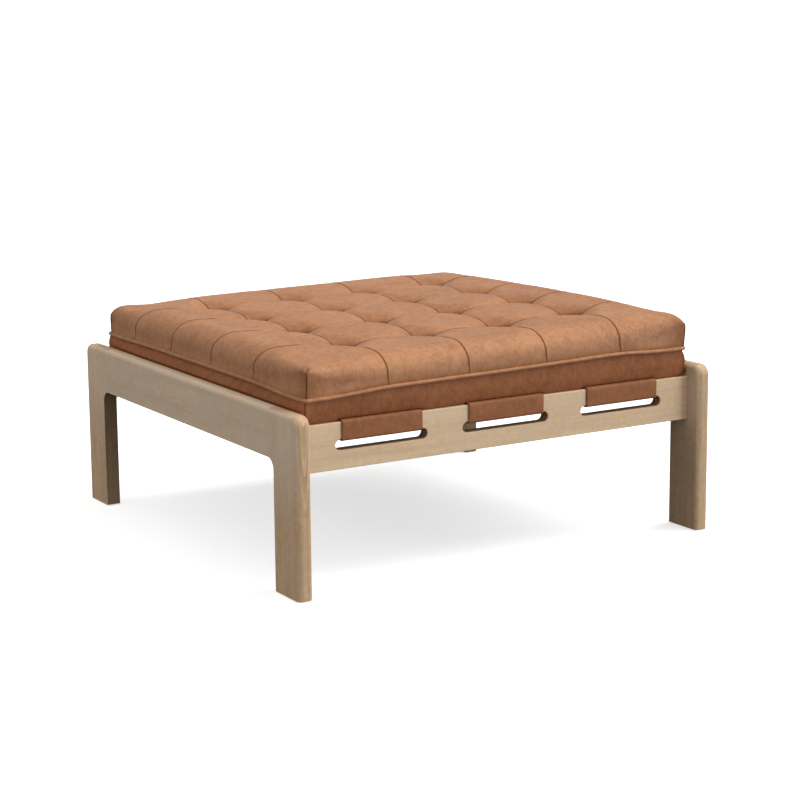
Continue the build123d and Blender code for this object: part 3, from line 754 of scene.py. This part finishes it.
def refine(values, old, new, creases=()):
    """Cubic interpolation of rows of points from old places to new ones, with creases at some old places."""
    cuts = [0] + [int(np.argmin(np.abs(old - crease))) for crease in creases] + [len(old) - 1]
    start = np.empty_like(values[:-1])
    end = np.empty_like(values[:-1])
    for low, high in zip(cuts[:-1], cuts[1:]):
        slope = np.gradient(values[low:high + 1], old[low:high + 1], axis=0)
        start[low:high] = slope[:-1]
        end[low:high] = slope[1:]
    cell = np.clip(np.searchsorted(old, new, side="right") - 1, 0, len(old) - 2)
    shape = (-1,) + (1,) * (values.ndim - 1)
    width = (old[cell + 1] - old[cell]).reshape(shape)
    t = (new - old[cell]).reshape(shape) / width
    return (
        (2 * t ** 3 - 3 * t ** 2 + 1) * values[cell]
        + (t ** 3 - 2 * t ** 2 + t) * width * start[cell]
        + (-2 * t ** 3 + 3 * t ** 2) * values[cell + 1]
        + (t ** 3 - t ** 2) * width * end[cell]
    )


def fine_runs(runs):
    """The finer grid's lines: twice the coarse ones away from the seams, and close pairs beside each seam."""
    halves = np.concatenate([runs, (runs[1:] + runs[:-1]) / 2])
    far = halves[nearest_seam(halves) > SEAM_LINES[-1] + SEAM_CLEARANCE]
    close = [seam + sign * line for seam in SEAMS for line in SEAM_LINES for sign in (-1, 1)]
    return np.unique(np.round(np.concatenate([far, close]), 7))


def seam_share(run, width):
    """How much a point at a surface run belongs to a seam of a width."""
    return np.exp(-(nearest_seam(run) / width) ** 2)


def seam_lines(run_x, run_y, width):
    """How much each point of a grid belongs to a seam of a width, either way."""
    return np.maximum(seam_share(run_x, width)[:, None], seam_share(run_y, width)[None, :])


def refine_strip(low_wall, middle, high_wall, old_run, new_run, old_cross, new_cross):
    """Refine a strip that runs up one wall, over the top and down the other."""
    rows = np.arange(1, WALL_STEPS + 1) * WALL_ROW
    fine_rows = np.arange(1, WALL_STEPS * 2 + 1) * WALL_ROW / 2
    strip = np.concatenate([low_wall[:0:-1], middle, high_wall[1:]])
    old = np.concatenate([old_run[0] - rows[::-1], old_run, old_run[-1] + rows])
    new = np.concatenate([old_run[0] - fine_rows[::-1], new_run, old_run[-1] + fine_rows])
    strip = refine(strip, old, new, SEAMS)
    strip = np.swapaxes(refine(np.swapaxes(strip, 0, 1), old_cross, new_cross, SEAMS), 0, 1)
    count = len(fine_rows)
    return strip[count::-1], strip[count:-count], strip[-count - 1:]


def make_cover():
    """The tufted cover: the simulated grid, refined beside its seams, with pressed seams, closed below."""
    top, walls, (runs_x, runs_y) = cover_patches()
    points, top_index, indices = weld(top, walls)
    points = simulate(points, cover_faces(top_index, indices), top_index, indices, (runs_x, runs_y))
    top = points[top_index]
    walls = [points[index] for index in indices]
    fine_x, fine_y = fine_runs(runs_x), fine_runs(runs_y)
    across = np.swapaxes(top, 0, 1)
    front, over_y, rear = refine_strip(walls[0], across, walls[1], runs_y, fine_y, runs_x, fine_x)
    left, _, right = refine_strip(walls[2], top, walls[3], runs_x, fine_x, runs_y, fine_y)
    points, top_index, indices = weld(np.swapaxes(over_y, 0, 1), [front, rear, left, right])
    faces = cover_faces(top_index, indices)

    seam, press, shade = np.zeros((3, len(points)))
    # Painted shade in the tuft creases and beside the corners on the top
    shade[top_index] = tuft_shade(fine_x, fine_y, points[top_index])
    seam[top_index] = np.maximum(seam_lines(fine_x, fine_y, SEAM_WIDTH), corner_seam(points[top_index]))
    press[top_index] = GROOVE_DEPTH * seam_lines(fine_x, fine_y, GROOVE_WIDTH)
    fade = np.linspace(1, WALL_FADE_SHARE, len(front))[:, None]
    for index, run in zip(indices, (fine_x, fine_x, fine_y, fine_y)):
        seam[index] = seam_share(run, SEAM_WIDTH)[None, :] * fade
        press[index] = GROOVE_DEPTH * seam_share(run, GROOVE_WIDTH)[None, :] * fade
    for index in indices:
        for end in (0, -1):
            away = np.linalg.norm(points[index][:, :, :2] - points[index[:, end]][:, None, :2], axis=-1)
            seam[index] = np.maximum(seam[index], CORNER_SEAM_SHARE * np.exp(-(away / CORNER_SEAM) ** 2))
        press[index[1:, [0, -1]]] = GROOVE_DEPTH
        # Painted shade beside the corners on the walls
        shade[index] = np.maximum(shade[index], corner_shade(points[index]))
    points = points - vertex_normals(points, faces) * press[:, None]

    front, rear, left, right = (index[-1] for index in indices)
    rims = np.concatenate([front[:-1], right[:-1], rear[:0:-1], left[:0:-1]])
    ring = len(points) + np.arange(len(rims))
    points = np.concatenate([points, points[rims] * np.array([CLOSING_SHARE, CLOSING_SHARE, 1.0])])
    seam, shade = (np.concatenate([values, np.zeros(len(rims))]) for values in (seam, shade))
    following = np.roll(np.arange(len(rims)), -1)
    faces += [(rims[n], ring[n], ring[after], rims[after]) for n, after in enumerate(following)]
    faces.append(tuple(ring[::-1]))
    obj, used = new_object("tufted_cover", points, faces, [CUSHION_LEATHER])
    mark_points(obj, "seam", seam[used])
    mark_points(obj, "shade", shade[used])
    return obj


def tuft_shade(run_x, run_y, points):
    """Painted shade in the creases at each tuft, and softly round it."""
    along, across = nearest_seam(run_x)[:, None], nearest_seam(run_y)[None, :]
    long_x, long_y = TUFT_CREASE_SHARES
    crease = np.minimum(np.hypot(along / long_x, across), np.hypot(along, across / long_y))
    around = np.hypot(along, across)
    dark = TUFT_SHADE_SHARES[0] * np.exp(-(crease / TUFT_SHADE[0]) ** TUFT_CREASE_POWER)
    dark = dark + TUFT_SHADE_SHARES[1] * np.exp(-(around / TUFT_SHADE[1]) ** 2)
    from_edge = np.min(np.array([WALL_X, WALL_Y]) - np.abs(points[..., :2]), axis=-1)
    return np.maximum(np.clip(dark, 0, 1) * smooth_step(from_edge, *EDGE_FLAT), corner_shade(points))


def corner_seam(top):
    """The upper ends of the corner seams, which run in over the top a little way."""
    share = np.zeros(top.shape[:2])
    for corner in (top[0, 0], top[0, -1], top[-1, 0], top[-1, -1]):
        reach_x, reach_y = np.abs(top[..., 0] - corner[0]), np.abs(top[..., 1] - corner[1])
        along, across = (reach_x + reach_y) / math.sqrt(2), (reach_x - reach_y) / math.sqrt(2)
        start, end = at_corner(corner[0], corner[1], CORNER_SEAM_RUNS) * np.array(CORNER_SEAM_END_SHARES)
        line = np.exp(-(across / CORNER_SEAM) ** 2) * (1 - smooth_step(along, start, end))
        share = np.maximum(share, CORNER_SEAM_SHARE * line)
    return share


def corner_shade(points):
    """Soft painted shade beside the crease of each corner."""
    reach_x, reach_y = np.array([WALL_X, WALL_Y]) - np.array(CORNER_SHADE_INSETS)
    away = np.hypot(reach_x - np.abs(points[..., 0]), reach_y - np.abs(points[..., 1]))
    return CORNER_SHADE_SHARE * np.exp(-(away / CORNER_SHADE_REACH) ** 2)


def vertex_normals(points, faces):
    """Area-weighted normals of quads' points."""
    quads = np.array([face for face in faces if len(face) == 4])
    corners = points[quads]
    face_normals = np.cross(corners[:, 2] - corners[:, 0], corners[:, 3] - corners[:, 1])
    normals = np.zeros_like(points)
    for corner in range(4):
        np.add.at(normals, quads[:, corner], face_normals)
    return normals / np.maximum(np.linalg.norm(normals, axis=1, keepdims=True), 1e-12)


# Rings round the cushion: the welt and the lower band
def perimeter(half_x, half_y, radius, step, corner_steps):
    """Points, outward directions and shares of corner along a rounded rectangle, once round."""
    points, outward, corner = [], [], []
    for sign_x, sign_y, start in ((1, -1, -90), (1, 1, 0), (-1, 1, 90), (-1, -1, 180)):
        centre = np.array([sign_x * (half_x - radius), sign_y * (half_y - radius)])
        for number in range(corner_steps + 1):
            angle = math.radians(start + 90 * number / corner_steps)
            direction = np.array([math.cos(angle), math.sin(angle)])
            points.append(centre + radius * direction)
            outward.append(direction)
            corner.append(1 - abs(2 * number / corner_steps - 1))
        length = 2 * ((half_x if sign_x == sign_y else half_y) - radius)
        steps = int(length / step)
        direction = outward[-1]
        heading = np.array([-direction[1], direction[0]])
        begin = points[-1]
        for number in range(1, steps):
            points.append(begin + heading * length * number / steps)
            outward.append(direction)
            corner.append(0.0)
    return np.array(points), np.array(outward), np.array(corner)


def wander(path, height, scale, seed):
    """Smooth noise along a path, from -1 to 1."""
    return np.array([
        noise.noise(Vector((x * scale + seed, y * scale, z * scale))) for (x, y), z in zip(path, height)
    ])


def circle(sides):
    """The cosine and sine of each point of a circle."""
    return [(math.cos(math.tau * k / sides), math.sin(math.tau * k / sides)) for k in range(sides)]


def make_welt():
    """The piping: a full cord in the cushion's leather, sewn in along the welt's line."""
    reach_x = (welt_high[0] - welt_low[0]) / 2 - WELT_RADIUS
    reach_y = (welt_high[1] - welt_low[1]) / 2 - WELT_RADIUS
    path, outward, _ = perimeter(reach_x, reach_y, WELT_CORNER, WELT_STEP, CORNER_STEPS)
    x, y = path.T
    insets = (side_inset(x, y, y, WALL_Y, CORNER_INSETS_X), side_inset(x, y, x, WALL_X, CORNER_INSETS_Y))
    path = path - WELT_INSET_SHARE * outward * np.stack(insets, axis=-1)
    height = welt_height(path[:, 0], path[:, 1])
    height += WELT_WANDER * wander(path, height, scale=14.0, seed=3.0)
    radii = WELT_RADIUS * WELT_FULL_SHARE + WELT_BULGE * wander(path, height, scale=45.0, seed=9.0)
    points = [
        (*(place + out * radius * across), z + radius * WELT_FLAT_SHARE * up)
        for place, out, z, radius in zip(path, outward, height, radii)
        for across, up in circle(WELT_SIDES)
    ]
    faces = [face[::-1] for face in grid_faces(sheet_index(len(path), WELT_SIDES))]
    return new_object("welt_cord", np.array(points), faces, [CUSHION_LEATHER])[0]


def band_sag(x, outward):
    """How far the band's lower edge hangs towards the rails, beside the slings that lift it."""
    over_rail = np.abs(outward[:, 1]) > FACING_SHARE
    beside = np.ones(len(x))
    for name in STRAPS:
        low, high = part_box(name)
        away = np.abs(x - (low[0] + high[0]) / 2) - (high[0] - low[0]) / 2
        beside = np.minimum(beside, smooth_step(away, *SAG_RUN))
    return BAND_SAG * over_rail * beside


def make_rods(name, ends, radius, sides, mat):
    """Upright round rods or discs between pairs of centres."""
    points, faces = [], []
    for low, high in ends:
        index = len(points) + sheet_index(2, sides, closed_rows=0)
        for x, y, z in (low, high):
            points += [(x + radius * across, y + radius * deep, z) for across, deep in circle(sides)]
        faces += [face[::-1] for face in grid_faces(index)]
        faces.append(tuple(index[0, :-1])[::-1])
        faces.append(tuple(index[1, :-1]))
    return new_object(name, np.array(points), faces, [mat], smooth=False)[0]


def tuft_seats(cover):
    """The lowest points of the cover's tufts, a cover's thickness below its face."""
    points = np.array([vertex.co[:] for vertex in cover.data.vertices])
    seats = []
    for x in SEAMS:
        for y in SEAMS:
            away = np.hypot(points[:, 0] - x - TUFT_SHIFT[0], points[:, 1] - y - TUFT_SHIFT[1])
            near = points[(away < SEAT_REACH) & (points[:, 2] > WELT_Z + SEAT_RISE)]
            lowest = near[np.argmin(near[:, 2])]
            seats.append((lowest[0], lowest[1], lowest[2] - COVER_THICKNESS))
    return seats


def make_foam():
    """The foam core: a block with softened edges, cut a little short below the cover."""
    low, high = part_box("foam_core")
    half_x, half_y = high[0] - FOAM_EASE, high[1] - FOAM_EASE
    path, outward, _ = perimeter(half_x, half_y, FOAM_CORNER, FOAM_CORNER, FOAM_CORNER_STEPS)
    top, bottom = high[2] - FOAM_TOP_GAP, low[2] + FOAM_BOTTOM_GAP
    section = [(out * MM, top - off * MM) for out, off in FOAM_EDGE]
    section += [(out * MM, bottom + off * MM) for out, off in FOAM_EDGE[::-1]]
    uneven = FOAM_UNEVEN * wander(path, np.zeros(len(path)), scale=20.0, seed=2.0)
    points = [
        (*(place + out * (reach + bump)), z)
        for place, out, bump in zip(path, outward, uneven)
        for reach, z in section
    ]
    index = sheet_index(len(path), len(section), closed_columns=0)
    faces = [face[::-1] for face in grid_faces(index)]
    faces.append(tuple(index[:-1, 0]))
    faces.append(tuple(index[:-1, -1])[::-1])
    return new_object("foam_block", np.array(points), faces, [FOAM])[0]


def make_band():
    """The lower band: a soft wall from the welt to the slings, rolled under and seamed at its corners."""
    half_x = (band_high[0] - band_low[0]) / 2 - BAND_INSET
    half_y = (band_high[1] - band_low[1]) / 2 - BAND_INSET
    path, outward, corner = perimeter(half_x, half_y, BAND_CORNER, BAND_STEP, CORNER_STEPS)
    points, seam = [], []
    drop = welt_height(path[:, 0], path[:, 1]) - WELT_Z
    sag = band_sag(path[:, 0], outward)
    soft = wander(path, drop, scale=7.0, seed=21.0)
    ripple = wander(path, drop, scale=26.0, seed=5.0)
    for place, out, share, fall, hang, wide, fine in zip(path, outward, corner, drop, sag, soft, ripple):
        sideways = abs(out[0])
        side = abs(place[0]) / half_x if abs(out[1]) > sideways else abs(place[1]) / half_y
        near = side ** CORNER_POWER
        corner_share = at_corner(place[0], place[1], BAND_FULL_SHARES) * near + 1 - near
        slack = BAND_WIDE_WAVE * wide + BAND_FINE_WAVE * fine
        slack -= BAND_DRAW * (1 - sideways) * side ** BAND_DRAW_POWER
        room = (FRAME_INNER - BAND_GAP - abs(place[0])) / max(sideways, LEAST_FACING_SHARE)
        for number, (reach, z, fullness, bulge) in enumerate(BAND_SECTION):
            level = (z - CUSHION_BOTTOM) / (BAND_TOP - CUSHION_BOTTOM)
            reach = reach * MM
            if number in BAND_OUTER:
                reach += slack * math.sin(math.pi * min(max(level, 0), 1))
                if z >= BAND_SEATED[1]:
                    fullness *= corner_share
                reach += (fullness + bulge * (1 - near)) * MM * sideways ** 2
                if z < BAND_FREE_Z:
                    reach = min(reach, room)
                if BAND_SEATED[0] < z < BAND_SEATED[1] and sideways > FACING_SHARE:
                    reach = room
            height = z + fall * level ** 2 - hang * max(1 - SAG_LEVELS * level, 0) ** 2
            points.append((place[0] + out[0] * reach, place[1] + out[1] * reach, height))
            seam.append(BAND_SEAM_SHARE * share ** 3 if number in BAND_OUTER else 0.0)
    faces = grid_faces(sheet_index(len(path), len(BAND_SECTION)))
    obj, used = new_object("lower_band", np.array(points), faces, [BAND_LEATHER])
    mark_points(obj, "seam", np.array(seam)[used])
    return obj


# Straps
def strap_route(rail_top, slot_top):
    """A strap's middle line from the front lap to the rear one, as (y, z) points with rounded turns."""
    half = STRAP_THICKNESS / 2
    turns = [
        (STRAP_LAP + rail_high[1], rail_top - half),
        (half + rail_high[1], rail_top - half),
        (half + rail_high[1], slot_top - half),
        (rail_low[1] - half, slot_top - half),
        (rail_low[1] - half, rail_top + half),
    ]
    turns += [(-y, z) for y, z in turns[::-1]]
    route = []
    for number, (point, radius) in enumerate(zip(turns, STRAP_TURNS + STRAP_TURNS[::-1])):
        here = Vector(point)
        if radius == 0:
            route.append(here)
            continue
        before = (Vector(turns[number - 1]) - here).normalized() * radius * MM
        after = (Vector(turns[number + 1]) - here).normalized() * radius * MM
        for step in range(STRAP_TURN_STEPS + 1):
            angle = step / STRAP_TURN_STEPS * math.pi / 2
            route.append(here + before * (1 - math.sin(angle)) + after * (1 - math.cos(angle)))
    spaced = [route[0]]
    for point in route[1:]:
        begin = spaced[-1].copy()
        pieces = max(1, int((point - begin).length / STRAP_STEP))
        spaced += [begin.lerp(point, piece / pieces) for piece in range(1, pieces + 1)]
    return spaced


def make_strap(node, seed):
    """One leather sling: a single strip looped round both rails, with soft edges and a slight waviness."""
    low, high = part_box(node)
    route = strap_route(high[2] - STRAP_THICKNESS, low[2] + STRAP_THICKNESS)
    middle = (high[0] + low[0]) / 2
    side = (high[0] - low[0]) / 2
    face = -STRAP_THICKNESS / 2
    soft = STRAP_EDGE * STRAP_EDGE_SHARE
    edge = [(-side, face + STRAP_EDGE), (-side + soft, face + soft), (-side + STRAP_EDGE, face)]
    flat = [(side * (2 * step / STRAP_COLUMNS - 1), face) for step in range(1, STRAP_COLUMNS)]
    lower = edge + flat + [(-x, z) for x, z in edge[::-1]]
    section = lower + [(x, -z) for x, z in lower[::-1]]
    points, seam = [], []
    for number, place in enumerate(route):
        heading = (route[min(number + 1, len(route) - 1)] - route[max(number - 1, 0)]).normalized()
        normal = Vector((heading[1], -heading[0]))
        free = low[2] + STRAP_FREE[0] < place[1] < high[2] - STRAP_FREE[1]
        for x, z in section:
            wave = Vector((x * STRAP_WAVE_SCALES[0] + seed, place[1] * STRAP_WAVE_SCALES[1], seed))
            lift = -STRAP_WAVE * noise.noise(wave) if free else 0.0
            offset = normal * (z + lift)
            points.append((middle + x, place[0] + offset[0], place[1] + offset[1]))
            at_edge = abs(abs(x) - side) < STRAP_EDGE / 2
            seam.append(STRAP_SHADE_SHARE if at_edge else 0.0)
    index = sheet_index(len(route), len(section), closed_rows=0)
    faces = [quad[::-1] for quad in grid_faces(index)]
    faces.append(tuple(index[0, :-1])[::-1])
    faces.append(tuple(index[-1, :-1]))
    obj, used = new_object(node + "_leather", np.array(points), faces, [STRAP_LEATHER])
    mark_points(obj, "seam", np.array(seam)[used])
    return obj


cover = make_cover()
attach(cover, "cushion")
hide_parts("cushion_cover_top", "quilted_pad")

welt = make_welt()
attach(welt, "cushion")
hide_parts("cushion_welt")

band = make_band()
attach(band, "cushion")
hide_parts("cushion_band")

seats = tuft_seats(cover)
disc_low, disc_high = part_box("tuft_discs")
twine_low, twine_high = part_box("tufting_twines")
disc_radius = (disc_high[0] - disc_low[0]) / 2 - SEAMS[-1]
twine_radius = (twine_high[0] - twine_low[0]) / 2 - SEAMS[-1]
undersides = [(x, y, z - DISC_THICKNESS) for x, y, z in seats]
washers = make_rods("tuft_washers", list(zip(undersides, seats)), disc_radius, DISC_SIDES, DISC_PLASTIC)
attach(washers, "cushion")
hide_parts("tuft_discs")
feet = [(x, y, twine_low[2]) for x in SEAMS for y in SEAMS]
twines = make_rods("tuft_twines", list(zip(feet, undersides)), twine_radius, TWINE_SIDES, TWINE)
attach(twines, "cushion")
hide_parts("tufting_twines")

foam = make_foam()
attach(foam, "cushion")
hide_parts("foam_core")

for seed, name in enumerate(STRAPS):
    strap = make_strap(name, 1.0 + 4.0 * seed)
    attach(strap, "frame")
    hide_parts(name)

# Wood of the frame: a finish of its own for each board, along its grain
def slot_faces(nodes):
    """1 on the faces inside a rail's slots, where shade is painted."""
    _, across, height = nodes.axes(nodes.place)
    near, far = SLOT_REACH
    past_inner = nodes.span(across, -rail_high[1], -rail_high[1] + SLOT_SOFT)
    short_of_outer = nodes.span(across, -rail_low[1] - SLOT_SOFT, -rail_low[1], 1.0, 0.0)
    low = nodes.span(height, SLOT_LOW - far, SLOT_LOW - near)
    high = nodes.span(height, SLOT_HIGH + near, SLOT_HIGH + far, 1.0, 0.0)
    return nodes.times(nodes.times(past_inner, short_of_outer), nodes.times(low, high))


def arch_faces(nodes):
    """1 on the faces of an end frame's opening and a quarter on its inner side, where shade is painted."""
    side, _, _ = nodes.axes(nodes.normal)
    out, across, height = nodes.axes(nodes.place)
    edgewise = nodes.span(side, 0.35, 0.75, 1.0, 0.0)
    near, far = ARCH_REACH
    within = nodes.span(across, ARCH_HALF + near, ARCH_HALF + far, 1.0, 0.0)
    below = nodes.span(height, ARCH_TOP + near, ARCH_TOP + far, 1.0, 0.0)
    opening = nodes.times(edgewise, nodes.times(within, below))
    near, far = INNER_REACH
    inner = nodes.span(out, FRAME_INNER + near, FRAME_INNER + far, INNER_PAINTED_SHADE_SHARE, 0.0)
    return nodes.math("MAXIMUM", opening, inner)


for number, corner in enumerate(CORNERS):
    name = corner + "_leg"
    ringed = corner == "front_left"
    dress(name, oak(name + "_oak", 2, LEG_COLOURS, 0.45, 1.7 * number, arch_faces, ringed))
for number, name in enumerate(("left_top_rail", "right_top_rail")):
    dress(name, oak(name + "_oak", 1, TOP_COLOURS, 0.70, 7.1 + number, arch_faces))
for number, name in enumerate(("front_rail", "rear_rail")):
    dress(name, oak(name + "_oak", 0, RAIL_COLOURS, 0.35, 11.3 + number, slot_faces))

# Small parts
for name, finish in (("frame_dowels", "dowel_beech"), ("rail_dowels", "rail_dowel_beech")):
    dress(name, plain_noise(finish, (0.66, 0.50, 0.32), (0.55, 0.40, 0.24), 200, 0.6))
plywood = plain_noise("plywood", (0.62, 0.46, 0.29), (0.50, 0.35, 0.20), 60, 0.65, stretch=(1, 0.1, 1))
dress("base_board", plywood)
black_steel = plain_noise("black_steel", (0.040, 0.040, 0.042), (0.028, 0.028, 0.030), 900, 0.45, 0.4)
for corner in CORNERS:
    dress(corner + "_bracket", black_steel)
zinc = plain_noise("zinc_steel", (0.62, 0.62, 0.60), (0.48, 0.48, 0.47), 700, 0.35, 1.0)
for name in ("bracket_bolts", "bracket_screws", "strap_rivets"):
    dress(name, zinc)
dress("threaded_inserts", plain_noise("insert_brass", (0.74, 0.58, 0.28), (0.60, 0.45, 0.20), 700, 0.35, 1.0))
dress("foot_glides", plain_noise("glide_nylon", (0.10, 0.08, 0.07), (0.07, 0.06, 0.05), 500, 0.55))
dust_cloth = plain_noise("dust_cloth", (0.050, 0.034, 0.024), (0.030, 0.020, 0.014), 1600, 0.9)
dress("cushion_bottom_cover", dust_cloth)
dress("anchor_discs", DISC_PLASTIC)


# Floor: a pale one that the camera sees, over a darker one that throws less light back up
def floor_plane(name, height, light, dark, glow):
    """A large horizontal plane with a faintly cloudy matt finish."""
    half = FLOOR_HALF
    corners = [(-half, -half, height), (half, -half, height), (half, half, height), (-half, half, height)]
    obj, _ = new_object(name, corners, [(0, 1, 2, 3)], [])
    mat, nodes, shader = material(name + "_matt")
    nodes.fill(shader, {
        "Base Color": nodes.mix(nodes.noise(2.0, 2.0, 0.5), (dark,) * 3, (light,) * 3),
        "Roughness": 0.95,
        "Specular IOR Level": 0.1,
        "Emission Color": (1, 1, 1, 1),
        "Emission Strength": glow,
    })
    obj.data.materials.append(mat)
    return obj


floor = floor_plane("floor", FLOOR_Z, 0.84, 0.82, FLOOR_GLOW)
floor.visible_diffuse = False
floor.visible_glossy = False
bounce = floor_plane("floor_bounce", BOUNCE_Z, 0.28, 0.26, 0.0)
bounce.visible_camera = False
bounce.visible_shadow = False

# Light: a pale studio that dims towards the rear, a soft key from above right, a low fill in front and a weak
# one from the left
world = bpy.data.worlds.new("studio")
bpy.context.scene.world = world
world.use_nodes = True
nodes = Nodes(world.node_tree)
height = nodes.new("ShaderNodeSeparateXYZ", {0: nodes.direction}).outputs[2]
glow = nodes.new("ShaderNodeMapRange", {"Value": height, "To Min": HORIZON_LIGHT, "To Max": ZENITH_LIGHT})
away = nodes.new("ShaderNodeVectorMath", {0: nodes.direction, 1: BACK_SIDE}, operation="DOT_PRODUCT")
dimmed = nodes.span(away.outputs["Value"], 0.0, 0.9, 1.0, BACK_LIGHT)
strength = nodes.times(glow.outputs["Result"], dimmed)
nodes.fill(world.node_tree.nodes["Background"], {"Color": (1, 1, 1, 1), "Strength": strength})


def soft_sun(name, heading, strength, spread):
    """A distant light that shines along a heading, with soft shadows and no highlights."""
    data = bpy.data.lights.new(name, "SUN")
    data.energy = strength
    data.angle = math.radians(spread)
    lamp = add(name, data)
    lamp.rotation_euler = Vector(heading).to_track_quat("-Z", "Y").to_euler()
    lamp.visible_glossy = False


soft_sun("key", (-0.75, 0.12, -0.95), 2.45, 50)
soft_sun("front_fill", (-0.50, 0.80, -0.17), 0.83, 22)
soft_sun("left_fill", (0.85, -0.12, -0.50), 0.39, 25)

# A low strip in front that only gives the cushion's front wall its soft sheen
strip_data = bpy.data.lights.new("front_sheen", "AREA")
strip_data.shape = "RECTANGLE"
strip_data.size, strip_data.size_y = STRIP_SIZE
strip_data.energy = STRIP_ENERGY
strip_data.color = STRIP_COLOUR
strip = add("front_sheen", strip_data)
strip.location = STRIP_PLACE
strip.rotation_euler = (STRIP_TARGET - STRIP_PLACE).to_track_quat("-Z", "Y").to_euler()
strip.visible_diffuse = False
strip.visible_camera = False

# Camera
camera_data = bpy.data.cameras.new("camera")
camera_data.sensor_width = SENSOR
camera_data.lens = SENSOR * FOCAL_PIXELS / FRAME_PIXELS
camera_data.shift_x = (FRAME_PIXELS / 2 - CENTRE_PIXEL[0]) / FRAME_PIXELS
camera_data.shift_y = (CENTRE_PIXEL[1] - FRAME_PIXELS / 2) / FRAME_PIXELS
camera = add("camera", camera_data)
camera.location = CAMERA_PLACE
camera.rotation_mode = "XYZ"
looking = Vector((
    math.sin(CAMERA_YAW) * math.cos(CAMERA_PITCH),
    math.cos(CAMERA_YAW) * math.cos(CAMERA_PITCH),
    -math.sin(CAMERA_PITCH),
))
aim = looking.to_track_quat("-Z", "Y").to_matrix()
camera.rotation_euler = (aim @ Matrix.Rotation(CAMERA_ROLL, 3, "Z")).to_euler()
bpy.context.scene.camera = camera
bpy.context.scene.view_settings.view_transform = "Standard"

bpy.context.view_layer.update()
